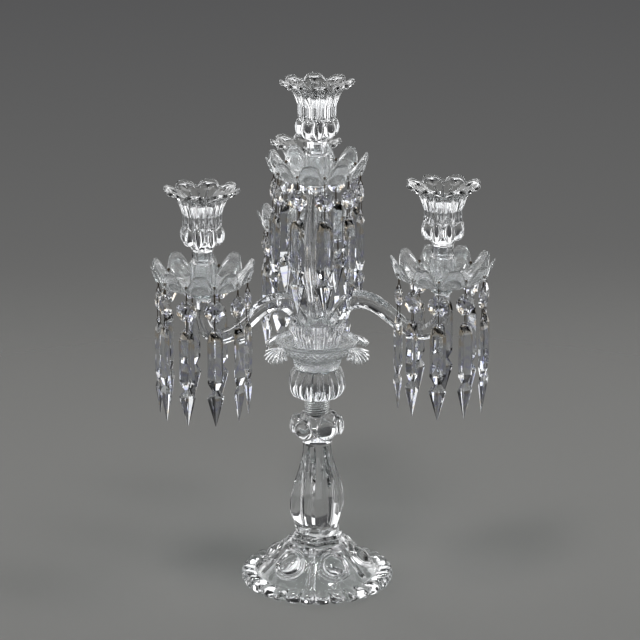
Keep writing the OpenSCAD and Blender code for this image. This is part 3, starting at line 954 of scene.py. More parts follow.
@dataclass
class ReceiverBowl(SubAssembly):
    """Ogee bowl with a diamond-cut outside and four drooping scallop shells on its rim."""

    node = "receiver_bowl"
    look = "cut"
    coats = (GRAINED,)
    crease = 34.0
    low: float = 244.0
    height: float = 32.0
    rim_r: float = 45.0
    foot_r: float = 24.0
    wall: float = 5.0
    floor_z: float = 254.0
    lip: float = 0.9
    diamonds: int = 40
    diamond_rows: float = 6.5
    diamond_depth: float = 1.6
    # Shares of the bowl's height between which the diamonds and the line over them lie
    diamond_span: Pair = (0.06, 0.86)
    line_span: Pair = (0.835, 0.865)
    line_depth: float = 0.5
    inside_end: float = 0.34
    shell_len: float = 23.0
    shell_fan: float = 60.0
    shell_start: float = 0.06
    shell_ribs: float = 7.0
    shell_wave: float = 1.5
    shell_scallop: float = 0.035
    shell_round: float = 0.2
    shell_arch: float = 3.0
    shell_bow: float = 150.0
    shell_droop: float = 38.0
    shell_spread: float = 35.0
    shell_turn: float = -5.0
    shell_wall: float = 4.0
    shell_edge: float = 0.8
    shell_points: int = 91
    shell_rows: int = 18
    points: int = 648
    outside_rows: int = 100
    inside_rows: int = 30

    def outside(self, t: float) -> float:
        """The outside radius at a share of the bowl's height."""
        foot, rim = self.foot_r, self.rim_r
        return keyed(((0.0, foot), (0.25, foot + 2.5), (0.75, rim - 3.0), (self.lip, rim)), t)

    def shell_line(self, i: np.ndarray, s: float, down: float) -> np.ndarray:
        """A line of points across the shell.

        Args:
            i: Shares of the fan, from -1 to 1.
            s: Share of the shell's length.
            down: Depth under the shell's upper side.

        Returns:
            The points.
        """
        turn = np.radians(self.shell_fan * i)
        ribs = np.cos(math.pi * self.shell_ribs * i)
        outline = 1.0 - self.shell_round + self.shell_round * np.cos(turn) + self.shell_scallop * ribs
        reach = s * self.shell_len * outline
        arch = self.shell_arch * math.sin(math.radians(self.shell_bow) * s)
        height = arch + s * self.shell_wave * ribs - down
        return np.stack([reach * np.cos(turn), reach * np.sin(turn), height], axis=1)

    def shell(self) -> Solid:
        """A ribbed shell that fans out along +X.

        Returns:
            The shell.
        """
        i = np.linspace(-1.0, 1.0, self.shell_points)
        along = np.linspace(self.shell_start, 1.0, self.shell_rows)
        edge = np.where(along == 1.0, self.shell_edge, 0.0)
        lower = [self.shell_line(i, s, self.shell_wall - e) for s, e in zip(along, edge)]
        upper = [self.shell_line(i, s, e) for s, e in zip(along, edge)]
        return Solid.lofted(list(np.stack(lower + upper[::-1], axis=1)))

    def build(self) -> bpy.types.Mesh:
        """Build the mesh up the outside, over the rim and down the inside, and put the shells on.

        Returns:
            The mesh.
        """
        a = circle_angles(self.points)
        rows = []
        for t in np.linspace(0.0, self.lip, self.outside_rows):
            turn = 360.0 * self.diamond_rows * t / self.diamonds
            groove = np.maximum(*(np.abs(across(a, self.diamonds, way * turn)) for way in (1.0, -1.0)))
            depth = self.diamond_depth * float(bump(t, *self.diamond_span)) ** PLATEAU
            line = self.line_depth * float(bump(t, *self.line_span))
            z = self.low + t * self.height - CEMENT * (t == 0.0)
            rows.append(ring(a, self.outside(t) - depth * groove - line, z))
        rim, inner, top = self.rim_r, self.rim_r - self.wall, self.low + self.height
        rows += rings(a, (
            (rim, top - 1.6), (rim - 0.4, top - 0.5), (rim - 1.2, top), (inner + 1.0, top),
            (inner + 0.2, top - 0.8),
        ))
        for t in np.linspace(self.lip, self.inside_end, self.inside_rows):
            z = max(self.floor_z, self.low + t * self.height + 0.3)
            rows.append(ring(a, self.outside(t) - self.wall, z))
        rows.append(ring(a, self.foot_r - self.wall + 1.5, self.floor_z))
        root = moved(rim - 1.0, 0.0, top - 2.5) @ turned(self.shell_droop, "Y")
        spread = self.shell_spread
        shells = [
            self.shell().placed(turned(angle + self.shell_turn) @ root)
            for angle in (-spread, spread, 180.0 - spread, 180.0 + spread)
        ]
        return Solid.joined([Solid.lofted(rows), *shells]).mesh("bowl_mesh", self.crease)


@dataclass
class ArmHub(SubAssembly):
    """Fluted hub in the bowl, with a flat for the root of each arm and a lens on each side of it."""

    node = "arm_hub"
    look = "cut"
    crease = 30.0
    low: float = 254.0
    foot_r: float = 19.0
    foot_up: float = 6.0
    radius: float = 28.0
    wide_z: float = 286.2
    lens_z: float = 288.0
    # The middle of a gap between two arms, and how far from it each lens lies
    gap_angle: float = 30.0
    lens_off: float = 26.0
    lens_half: Pair = (6.0, 9.0)
    lens_rise: float = 2.6
    flutes: int = 36
    flute_depth: float = 1.1
    points: int = 720
    levels: int = 60
    # Least share of a ring that faces an arm's flat
    least_toward: float = 0.05

    def build(self) -> bpy.types.Mesh:
        """Build the mesh.

        Returns:
            The mesh.
        """
        a = circle_angles(self.points)
        slope = math.radians(LAYOUT.root_slope)
        c, s = math.cos(slope), math.sin(slope)
        plane = LAYOUT.root_r * c + LAYOUT.root_z * s
        start = self.low + self.foot_up
        flutes = self.flute_depth * (0.5 - 0.5 * np.cos(self.flutes * a))
        off = np.abs(across(a, len(ARMS), self.gap_angle)) * math.pi / len(ARMS) - math.radians(self.lens_off)
        wide, high = self.lens_half
        rows = []
        for z in (self.low - CEMENT, *np.linspace(start, LAYOUT.hub_top, self.levels)):
            r = self.foot_r + (self.radius - self.foot_r) * unit((z - start) / (self.wide_z - start)) - flutes
            for light in ARMS:
                toward = np.cos(a - math.radians(light.angle))
                limit = (plane - z * s) / (c * np.maximum(toward, self.least_toward))
                r = np.minimum(r, np.where(toward > self.least_toward, limit, r))
            inside = 1.0 - (self.radius * off / wide) ** 2 - ((z - self.lens_z) / high) ** 2
            rows.append(ring(a, r + self.lens_rise * np.sqrt(np.maximum(inside, 0.0)), z))
        return Solid.lofted(rows).mesh("hub_mesh", self.crease)


def peg(dish_z: float) -> Solid:
    """The end of a peg that stands out of a dish and enters the cup."""
    top = dish_z + LAYOUT.dish_h
    return Solid.rod(LAYOUT.peg_r, top - CEMENT, top + LAYOUT.peg_in, chamfer=0.6)


@dataclass
class CentralColumn(SubAssembly):
    """Fluted vase-shaped column that carries the central dish."""

    node = "central_column"
    look = "fluted"
    crease = 33.0
    foot_r: float = 11.5
    waist_r: float = 11.0
    waist_up: float = 8.0
    swell_r: float = 19.0
    swell_up: float = 58.0
    top_r: float = 11.0
    shoulder_h: float = 7.0
    disc_h: float = 6.0
    disc_edge: Pair = (0.4, 0.6)
    flutes: int = 8
    flute_share: float = 0.94
    flute_depth: float = 0.13
    flute_end: float = 5.0
    points: int = 320
    levels: int = 110

    def build(self) -> bpy.types.Mesh:
        """Build the mesh.

        Returns:
            The mesh.
        """
        a = circle_angles(self.points)
        low, top, wide = LAYOUT.hub_top, LAYOUT.center_dish_z, LAYOUT.shoulder_r
        neck = top - self.shoulder_h
        keys = (
            (low, self.foot_r), (low + self.waist_up, self.waist_r), (low + self.swell_up, self.swell_r),
            (neck, self.top_r),
        )
        lobe = np.abs(across(a, self.flutes, 180.0 / self.flutes))
        hollow = 1.0 - np.minimum(1.0, lobe / self.flute_share) ** 2
        rows = []
        for z in np.linspace(low - CEMENT, neck, self.levels):
            fade = float(unit((neck - z) / self.flute_end))
            rows.append(ring(a, keyed(keys, z) * (1.0 - self.flute_depth * fade * hollow), z))
        edge_in, edge_down = self.disc_edge
        disc = top - self.disc_h
        rows += rings(a, ((wide - edge_in, disc - edge_down), (wide, disc), (wide, top + CEMENT)))
        return Solid.joined([Solid.lofted(rows), peg(top)]).mesh("column_mesh", self.crease)


@dataclass
class Arm(SubAssembly):
    """S-shaped arm of six flats, from the hub to the shoulder under its dish."""

    look = "cut"
    crease = 24.0
    width: float = 15.0
    depth: float = 17.5
    crest_swell: float = 0.22
    chamfer: float = 0.08
    crest: Pair = (52.0, 26.5)
    dip: Pair = (121.0, -1.0)
    rise_up: float = 29.0
    pull: float = 1.17
    steps: int = 26
    side_points: int = 8
    # The shoulder's depth under the dish and its share of the way from six flats to a circle
    shoulder: tuple[Pair, ...] = (
        (12.0, 0.0), (10.0, 0.08), (8.5, 0.3), (7.3, 0.7), (6.5, 0.95), (6.0, 1.0), (-CEMENT, 1.0),
    )

    def section(self) -> np.ndarray:
        """The six-sided section with a narrow chamfer at each corner.

        Returns:
            Points as (sideways, up) pairs.
        """
        w, d = self.width / 2.0, self.depth / 2.0
        corners = np.array([(w, d / 2.0), (0.0, d), (-w, d / 2.0), (-w, -d / 2.0), (0.0, -d), (w, -d / 2.0)])
        after = np.roll(corners, -1, axis=0)
        share = np.linspace(self.chamfer, 1.0 - self.chamfer, self.side_points)
        return np.concatenate([p + (q - p) * share[:, None] for p, q in zip(corners, after)])

    def middle_line(self) -> list[tuple[np.ndarray, np.ndarray]]:
        """The arm's middle line in its own plane.

        Returns:
            Points and unit directions, as (distance from the axis, height) pairs.
        """
        slope = math.radians(LAYOUT.root_slope)
        z = LAYOUT.root_z
        keys = [
            ((LAYOUT.root_r, z), (math.cos(slope), math.sin(slope))),
            ((self.crest[0], z + self.crest[1]), (1.0, 0.0)),
            ((self.dip[0], z + self.dip[1]), (1.0, 0.0)),
            ((LAYOUT.arm_reach, z + self.rise_up), (0.0, 1.0)),
        ]
        line = []
        for (p, u), (q, v) in zip(keys, keys[1:]):
            p, u, q, v = (np.array(k, dtype=float) for k in (p, u, q, v))
            pull = self.pull * np.linalg.norm(q - p)
            for t in np.arange(self.steps) / self.steps:
                point = p * (2 * t**3 - 3 * t**2 + 1) + u * pull * (t**3 - 2 * t**2 + t)
                point = point + q * (3 * t**2 - 2 * t**3) + v * pull * (t**3 - t**2)
                way = p * (6 * t**2 - 6 * t) + u * pull * (3 * t**2 - 4 * t + 1)
                way = way + q * (6 * t - 6 * t**2) + v * pull * (3 * t**2 - 2 * t)
                line.append((point, way / np.linalg.norm(way)))
        point, way = line[0]
        line[0] = (point - way * CEMENT, way)
        return line

    def build(self) -> bpy.types.Mesh:
        """Build the mesh along +X, from the root to the peg.

        Returns:
            The mesh.
        """
        flat = self.section()
        rows = []
        for i, (point, way) in enumerate(self.middle_line()):
            up = flat[:, 1] * (1.0 + self.crest_swell * float(bump(i / self.steps, 0.0, 2.0)))
            rows.append(np.stack([point[0] - way[1] * up, flat[:, 0], point[1] + way[0] * up], axis=1))
        circle = flat / np.linalg.norm(flat, axis=1, keepdims=True) * LAYOUT.shoulder_r
        top, reach = LAYOUT.side_dish_z, LAYOUT.arm_reach
        for down, share in ((top - LAYOUT.root_z - self.rise_up, 0.0), *self.shoulder):
            side, up = (flat + (circle - flat) * share).T
            rows.append(np.stack([reach - up, side, np.full(len(flat), top - down)], axis=1))
        end = peg(top).placed(moved(reach, 0.0, 0.0))
        return Solid.joined([Solid.lofted(rows), end]).mesh("arm_mesh", self.crease)

    def places(self) -> Iterator[Place]:
        """Yield the CAD node, the body and the place of each piece."""
        for light in ARMS:
            yield f"arm_{light.label}", "stand", turned(light.angle)


@dataclass
class PetalledPart(SubAssembly):
    """A part with a rim of petals, each scooped like a spoon and rolled at its edge.

    The spans are shares of the way to the rim (roll and scoop) and of a petal's width (spoon).
    """

    scoop: float = 0.0
    scoop_span: Pair = (0.0, 1.0)
    spoon_span: Pair = (0.0, 1.0)
    roll: float = 0.0
    roll_span: Pair = (0.0, 1.0)

    def rolled(self, u: float) -> float:
        """How far the rolled rim stands out on each side."""
        return self.roll * bump(u, *self.roll_span)

    def scooped(self, u: float, x: np.ndarray) -> np.ndarray:
        """How deep each petal is hollowed at a share of the way to its rim."""
        return self.scoop * bump(x, *self.spoon_span) * bump(u, *self.scoop_span)


@dataclass
class DripDish(PetalledPart):
    """Dish of ten spoon-shaped petals round a panelled boss, drilled for the pins in the valleys."""

    look = "petalled"
    coats = (GRAINED,)
    crease = 38.0
    radius: float = 55.0
    valley_r: float = 50.0
    height: float = 30.0
    valley_h: float = 15.0
    wall: float = 3.5
    boss_r: float = 14.0
    boss_panels: int = 12
    panel_depth: float = 0.05
    bend: float = 2.4
    scoop: float = 1.9
    scoop_span: Pair = (0.3, 0.95)
    spoon_span: Pair = (0.12, 0.88)
    roll: float = 0.8
    roll_span: Pair = (0.86, 1.07)
    lens_r: float = 10.5
    lens_rise: float = 2.6
    lens_u: float = 0.66
    # How far a lens's middle stands out and down
    lens_way: Pair = (0.5, 0.85)
    hole_r: float = 1.1
    drill_span: Pair = (-2.0, 24.0)
    drill_sides: int = 20
    boss_u: float = 0.06
    edge_u: float = 0.965
    points: int = 720
    side_rows: int = 60
    # The boss's round foot and its panelled wall, as (radius, height) pairs
    boss_foot: tuple[Pair, ...] = ((14.9, 3.7), (14.4, 4.2), (14.1, 5.2))
    boss_wall: tuple[Pair, ...] = (
        (14.0, 6.2), (14.0, 17.0), (14.0, 28.6), (13.6, 29.4), (12.9, 30.0),
    )

    def at(self, u: float, p: np.ndarray) -> Profile:
        """The dish's upper side.

        Args:
            u: Share of the way from the boss to the rim.
            p: Share of a petal's reach at each angle.

        Returns:
            The radii and the heights.
        """
        start = self.boss_r - 1.0
        r = start + u * (self.valley_r + (self.radius - self.valley_r) * p - start)
        z = self.wall + u**self.bend * (self.valley_h + (self.height - self.valley_h) * p - self.wall)
        return r, z

    def build(self) -> bpy.types.Mesh:
        """Build the mesh out along the underside, over the rim and back to the boss, and drill it.

        Returns:
            The mesh.
        """
        a = circle_angles(self.points)
        x = (a * LAYOUT.petals / TAU) % 1.0
        p = petal(x)
        rows = []
        lens_at = self.at(self.lens_u, np.ones(1))
        out, down = self.lens_way
        side = (x - 0.5) * TAU / LAYOUT.petals
        for u in np.linspace(0.0, self.edge_u, self.side_rows):
            r, z = self.at(u, p)
            apart = np.hypot(r * np.sin(side), np.hypot(r - lens_at[0], z - lens_at[1])) / self.lens_r
            lens = self.lens_rise * np.sqrt(unit(1.0 - apart**2))
            rows.append(ring(a, r + out * lens, z - self.wall - down * lens - self.rolled(u)))
        r, z = self.at(self.edge_u, p)
        far = self.at(1.0, p)
        roll = self.rolled(self.edge_u)
        rows += rings(
            a, rounded_rim((r, z - self.wall - roll), (r, z + roll), (far[0], far[1] - self.wall / 2.0))
        )
        for u in np.linspace(self.edge_u, self.boss_u, self.side_rows):
            r, z = self.at(u, p)
            rows.append(ring(a, r, z - self.scooped(u, x) + self.rolled(u)))
        panel = 1.0 - self.panel_depth * (1.0 - across(a, self.boss_panels) ** 2)
        rows += rings(a, self.boss_foot)
        rows += [ring(a, r * panel, z) for r, z in self.boss_wall]
        drill = Solid.rod(self.hole_r, *self.drill_span, self.drill_sides)
        hang = moved(LAYOUT.hang_r, 0.0, 0.0)
        step = 360.0 / LAYOUT.petals
        drills = [drill.placed(turned(k * step) @ hang) for k in range(LAYOUT.petals)]
        return drilled(Solid.lofted(rows).mesh("dish_mesh", self.crease), drills)

    def places(self) -> Iterator[Place]:
        """Go through the dishes.

        Returns:
            The CAD node, the body and the place of each piece.
        """
        for light in Light:
            turn = LAYOUT.center_turn if light is Light.CENTER else 180.0
            yield f"drip_dish_{light.label}", "stand", LAYOUT.at_light(light, 0.0) @ turned(turn)


@dataclass
class CandleCup(PetalledPart):
    """Cup with a panelled neck, a ring of pearls, ribs and a trumpet of petals round the candle socket."""

    look = "flared"
    crease = 40.0
    height: float = 80.0
    neck_r: float = 12.2
    neck_lip: float = 2.4
    edge: float = 0.4
    body_up: float = 3.0
    body_r: float = 20.5
    core_r: float = 16.3
    petals: int = 8
    panel_depth: float = 0.06
    panel_end: float = 20.0
    panel_run: float = 6.0
    rib_r: float = 3.1
    rib_start: float = 36.0
    rib_run: float = 5.0
    rib_bend: float = 0.5
    pearl_up: float = 30.0
    pearl_half: float = 10.5
    pearl_r: float = 6.6
    pearl_ring_r: float = 17.0
    flare_up: float = 52.0
    flare_floor: float = 66.0
    flare_r: float = 40.0
    flare_valley_r: float = 34.0
    flare_valley_down: float = 4.5
    flare_edge: float = 3.0
    # Powers that bend the trumpet's underside, its upper side and the end of the grooves
    under_bend: float = 2.6
    over_bend: float = 0.8
    groove_bend: float = 1.6
    mouth_w: float = 3.0
    candle_r: float = 11.3
    candle_depth: float = 30.0
    peg_gap: float = 0.3
    scoop: float = 2.0
    scoop_span: Pair = (0.25, 0.95)
    spoon_span: Pair = (0.1, 0.9)
    roll: float = 0.7
    roll_span: Pair = (0.84, 1.07)
    edge_u: float = 0.955
    points: int = 480
    body_rows: int = 110
    under_rows: int = 46
    over_rows: int = 50

    def rib(self, off: np.ndarray, ring_r: float, r: Values) -> np.ndarray:
        """Radii of a round bar of radius r on a circle, at angles off its middle, or 0 beside it."""
        inside = np.square(r) - (ring_r * np.sin(off)) ** 2
        return np.where(inside > 0.0, ring_r * np.cos(off) + np.sqrt(np.maximum(inside, 0.0)), 0.0)

    def ribs(self, off: np.ndarray) -> np.ndarray:
        """Radii of the body's ribs, two to a petal."""
        half = math.pi / self.petals / 2.0
        return np.maximum(self.core_r, self.rib(np.abs(off) - half, self.body_r - self.rib_r, self.rib_r))

    def body(self, z: float, off: np.ndarray) -> np.ndarray:
        """Radii of the neck, pearls and ribs at a height.

        Args:
            z: Height above the cup's seat.
            off: Angles from the middle of the nearest pearl, in radians.

        Returns:
            The radius at each angle.
        """
        neck, pearls = self.neck_r, self.pearl_ring_r
        keys = (
            (self.body_up, neck - 0.6), (6.0, neck - 1.0), (13.0, neck - 0.8), (22.0, pearls - 2.0),
            (self.pearl_up, pearls - 0.5), (40.0, self.core_r),
        )
        panel = self.panel_depth * float(unit((self.panel_end - z) / self.panel_run))
        r = keyed(keys, z) * (1.0 - panel * (1.0 - (off / (math.pi / self.petals)) ** 2))
        level = (z - self.pearl_up) / self.pearl_half
        if abs(level) < 1.0:
            r = np.maximum(r, self.rib(off, pearls, self.pearl_r * math.sqrt(1.0 - level**2)))
        rise = float(unit((z - self.rib_start) / self.rib_run))
        if rise > 0.0:
            r = np.maximum(r, self.core_r + (self.ribs(off) - self.core_r) * rise**self.rib_bend)
        return r

    def flare(self, u: float, p: np.ndarray, inside: bool) -> Profile:
        """One side of the trumpet.

        Args:
            u: Share of the way to its rim.
            p: Share of a petal's reach at each angle.
            inside: The upper side, or else the underside.

        Returns:
            The radii and the heights.
        """
        reach = self.flare_valley_r + (self.flare_r - self.flare_valley_r) * p
        rim = self.height - self.flare_valley_down * (1.0 - p)
        if inside:
            mouth = self.candle_r + self.mouth_w
            lift = u**self.over_bend
            return mouth + u * (reach - mouth), self.flare_floor + lift * (rim - self.flare_floor)
        lift = 1.0 - (1.0 - u) ** self.under_bend
        rim = rim - self.flare_edge
        return self.body_r + u * (reach - self.body_r), self.flare_up + lift * (rim - self.flare_up)

    def build(self) -> bpy.types.Mesh:
        """Build the mesh from the peg's hole up the outside, over the rim and down to the candle's seat.

        Returns:
            The mesh.
        """
        a = circle_angles(self.points)
        lobe = across(a, self.petals)
        off = lobe * math.pi / self.petals
        x = 0.5 + 0.5 * lobe
        p = petal(x)
        hole, neck, edge, candle = LAYOUT.peg_r + self.peg_gap, self.neck_r, self.edge, self.candle_r
        rows = rings(a, (
            (hole, LAYOUT.peg_in + self.peg_gap), (hole, edge), (hole + edge, 0.0), (neck - edge, 0.0),
            (neck, edge), (neck, self.neck_lip),
        ))
        levels = np.linspace(self.body_up, self.flare_up, self.body_rows)
        rows += [ring(a, self.body(z, off), z) for z in levels]
        grooves = self.body_r - self.ribs(off)
        for u in np.linspace(0.0, self.edge_u, self.under_rows)[1:]:
            r, z = self.flare(u, p, False)
            rows.append(ring(a, r - grooves * (1.0 - u) ** self.groove_bend, z - self.rolled(u)))
        roll = self.rolled(self.edge_u)
        under, over = self.flare(self.edge_u, p, False), self.flare(self.edge_u, p, True)
        far = (self.flare(1.0, p, True)[0], (under[1] + over[1]) / 2.0 + 0.3)
        rows += rings(a, rounded_rim((under[0], under[1] - roll), (over[0], over[1] + roll), far))
        for u in np.linspace(self.edge_u, 0.0, self.over_rows):
            r, z = self.flare(u, p, True)
            rows.append(ring(a, r, z - self.scooped(u, x) + self.rolled(u)))
        mouth, floor = self.flare_floor, self.flare_floor - self.candle_depth
        rows += rings(
            a, ((candle + 0.6, mouth), (candle, mouth - 0.6), (candle, floor + 0.5), (candle - 0.5, floor))
        )
        return Solid.lofted(rows).mesh("cup_mesh", self.crease)

    def places(self) -> Iterator[Place]:
        """Yield the CAD node, the body and the place of each piece."""
        for light in Light:
            yield f"candle_cup_{light.label}", f"cup_{light.label}", LAYOUT.at_light(light, LAYOUT.dish_h)


@dataclass
class HookPins(SubAssembly):
    """Headed wire pins through the dishes, each bent to a narrow eye below and twisted round itself."""

    node = "hook_pins"
    look = "wire"
    slot = Slot.WIRE
    coats = (PATINA,)
    crease = 50.0
    wire_r: float = 0.45
    head_r: float = 1.6
    head_share: float = 1.3
    eye_half: float = 2.2
    coil_share: float = 1.1
    twist_low: float = 2.6
    twist_high: float = 6.4
    twist_turns: float = 2.0

    def pin(self) -> Solid:
        """One pin, with its hinge line through the origin along Y and its eye in the plane of X and Z.

        Returns:
            The pin.
        """
        top = LAYOUT.ring_down + self.head_share * self.head_r
        eye, low = self.eye_half, self.eye_half - LAYOUT.ring_r
        coil_r = self.coil_share * self.wire_r
        turn = np.radians(np.linspace(180.0, 360.0, 25))
        arc = np.stack([eye * np.cos(turn), np.zeros(25), low + eye * np.sin(turn)], axis=1)
        rise = np.linspace(0.0, 1.0, 12)[1:]
        leg = np.stack(
            [eased(eye, coil_r, rise), np.zeros(11), low + (self.twist_low - low) * rise], axis=1
        )
        spin = np.linspace(0.0, 1.0, 24)[1:]
        twist = TAU * self.twist_turns * spin
        height = self.twist_low + (self.twist_high - self.twist_low) * spin
        tail = np.stack([coil_r * np.cos(twist), coil_r * np.sin(twist), height], axis=1)
        shank = np.stack([np.zeros(6), np.zeros(6), np.linspace(top, self.twist_high + 1.0, 6)], axis=1)
        other = (leg * (-1.0, 1.0, 1.0))[::-1]
        back = (tail * (-1.0, -1.0, 1.0))[::-1]
        wire = Solid.tube(np.concatenate([shank, back, other, arc, leg, tail]), self.wire_r)
        lift = np.radians(np.linspace(-84.0, 84.0, 11))
        ball = [(self.head_r * math.cos(t), top + self.head_r * math.sin(t)) for t in lift]
        return Solid.joined([wire, Solid.lofted(rings(circle_angles(20), ball))])

    def build(self) -> bpy.types.Mesh:
        """Build the mesh of all pins.

        Returns:
            The mesh.
        """
        pin = self.pin()
        pins = [pin.placed(place) for _, _, place in LAYOUT.drops()]
        return Solid.joined(pins).mesh("pins_mesh", self.crease)


@dataclass
class Drop(SubAssembly):
    """Cut bead and spear-ended prism of one drop, which hang from a pin's ring."""

    look = "crystal"
    slot = Slot.DROP
    coats = (CUT,)
    crease = 2.0
    bead_w: float = 21.5
    bead_t: float = 7.5
    bead_holes: float = 13.4
    girdle: float = 0.9
    table_r: float = 4.2
    star_r: float = 8.0
    star_share: float = 0.6
    link_len: float = 17.0
    drill_r: float = 1.4
    drill_half: float = 9.0
    drill_sides: int = 24
    prism_w: float = 17.0
    prism_t: float = 8.5
    prism_len: float = 61.0
    notch: Pair = (0.42, 0.546)
    # The tip as a width and a thickness, and the shoulder and top as a share of the width and a thickness
    tip: Pair = (0.6, 0.4)
    shoulder: Pair = (0.82, 3.4)
    cap: Pair = (0.45, 2.4)
    spear_len: float = 40.0
    spear_w: float = 18.5
    spear_head: float = 8.0
    roof: float = 8.0
    top: float = 4.5
    table: float = 0.62
    ridge: float = 0.08
    edge: float = 0.3
    # The two central drops that hang beside an arm, and the lean of each in degrees
    leans: tuple[tuple[int, float], ...] = ((3, 4.744), (6, -3.947))

    def bead(self) -> Solid:
        """An eight-sided bead with a table, eight stars and eight kites on each face, seen along X.

        Returns:
            The bead.
        """
        corner = np.radians(22.5 + 45.0 * np.arange(8))
        side = corner + math.radians(22.5)
        edge = self.bead_w / 2.0 / math.cos(math.radians(22.5))
        half, girdle = self.bead_t / 2.0, self.girdle
        star = girdle + self.star_share * (half - girdle)
        # The radius, the angles and the place along X of each ring of eight points
        octagons = (
            (self.table_r, corner, half), (self.star_r, side, star), (edge, corner, girdle),
            (edge, corner, -girdle), (self.star_r, side, -star), (self.table_r, corner, -half),
        )
        points = np.concatenate([
            np.stack([np.full(8, x), r * np.cos(turn), r * np.sin(turn)], axis=1) for r, turn, x in octagons
        ])
        faces: list[Sequence[int]] = [list(range(8)), list(range(47, 39, -1))]
        for i in range(8):
            j, h = (i + 1) % 8, (i - 1) % 8
            faces += [(i, 8 + i, j), (i, 8 + h, 16 + i, 8 + i), (8 + i, 16 + i, 16 + j)]
            faces += [(16 + i, 24 + i, 24 + j, 16 + j)]
            faces += [(24 + i, 32 + i, 24 + j), (24 + i, 32 + h, 40 + i, 32 + i), (40 + i, 40 + j, 32 + i)]
        return Solid(points, faces)

    def prism(self) -> Solid:
        """A prism with a wide front and a ridged back that ends in a notch and a spear.

        Returns:
            The prism, with its hole at the origin.
        """
        edge, ridge, table = self.edge, self.ridge, self.table
        outline = np.array(
            [(edge, 1.0), (-1.0, ridge), (-1.0, -ridge), (edge, -1.0), (1.0, -table), (1.0, table)]
        )
        low, head = -self.prism_len, self.spear_head
        wide, thick = self.prism_w, self.prism_t
        # The width, the thickness and the level of each section
        sections = (
            (*self.tip, low - self.spear_len), (self.spear_w, thick, low - head),
            (self.notch[0] * self.spear_w, self.notch[1] * thick, low), (wide, thick, low + head),
            (wide, thick, -self.roof), (self.shoulder[0] * wide, self.shoulder[1], 0.0),
            (self.cap[0] * wide, self.cap[1], self.top),
        )
        return Solid.lofted([
            np.concatenate([outline * (t / 2.0, w / 2.0), np.full((6, 1), z)], axis=1) for w, t, z in sections
        ])

    def hole(self, z: float) -> Solid:
        """A drill across the drop's thickness at a height."""
        drill = Solid.rod(self.drill_r, -self.drill_half, self.drill_half, self.drill_sides)
        return drill.placed(moved(0.0, 0.0, z) @ turned(90.0, "Y"))

    def build(self) -> bpy.types.Mesh:
        """Build the mesh with the bead's upper hole at the origin, and drill it.

        Returns:
            The mesh.
        """
        prism_z = -self.bead_holes - self.link_len
        solids = [
            self.bead().placed(moved(0.0, 0.0, -self.bead_holes / 2.0)),
            self.prism().placed(moved(0.0, 0.0, prism_z)),
        ]
        mesh = Solid.joined(solids).mesh("drop_mesh", self.crease)
        return drilled(mesh, [self.hole(z) for z in (0.0, -self.bead_holes, prism_z)])

    def places(self) -> Iterator[Place]:
        """Go through the drops.

        Returns:
            The CAD node, the body and the place of each piece.
        """
        for light, k, place in LAYOUT.drops():
            lean = dict(self.leans).get(k, 0.0) if light is Light.CENTER else 0.0
            node = f"drop_{light.label}_{k}"
            yield node, node, place @ moved(0.0, 0.0, -LAYOUT.ring_r) @ turned(lean, "X")


@dataclass
class DropLink(Drop):
    """Pinched wire link between a drop's bead and its prism."""

    look = "link"
    slot = Slot.WIRE
    coats = (PATINA,)
    crease = 60.0
    wire_r: float = 0.4
    half_w: float = 2.7
    pinch_w: float = 1.3
    pinch_end: float = 0.62
    past_hole: float = 0.3
    path_points: int = 96
    wire_sides: int = 10

    def build(self) -> bpy.types.Mesh:
        """Build the mesh in the drop's coordinates.

        Returns:
            The mesh.
        """
        t = np.linspace(0.0, TAU, self.path_points, endpoint=False)
        middle = -self.bead_holes - self.link_len / 2.0
        half = self.link_len / 2.0 + self.past_hole
        width = np.where(np.abs(np.cos(t)) > self.pinch_end, self.half_w, self.pinch_w)
        width = np.mean([np.roll(width, k) for k in range(-2, 3)], axis=0)
        side = np.sign(np.sin(t)) * np.sqrt(np.abs(np.sin(t)))
        path = np.stack([width * side, np.zeros(len(t)), middle + half * np.cos(t)], axis=1)
        return Solid.tube(path, self.wire_r, self.wire_sides, closed=True).mesh("link_mesh", self.crease)


@dataclass(frozen=True)
class Softbox:
    """A rectangular studio lamp aimed at the girandole, sizes in metres."""

    name: str
    place: tuple[float, float, float]
    size: Pair
    watts: float
    aim: tuple[float, float, float] = (0.0, 0.0, 0.3)

    def build(self) -> None:
        """Add the lamp to the scene."""
        lamp = bpy.data.lights.new(self.name, "AREA")
        lamp.shape = "RECTANGLE"
        lamp.size, lamp.size_y = self.size
        lamp.energy = self.watts
        obj = shown(self.name, lamp)
        obj.location = self.place
        obj.rotation_euler = (Vector(self.aim) - Vector(self.place)).to_track_quat("-Z", "Y").to_euler()


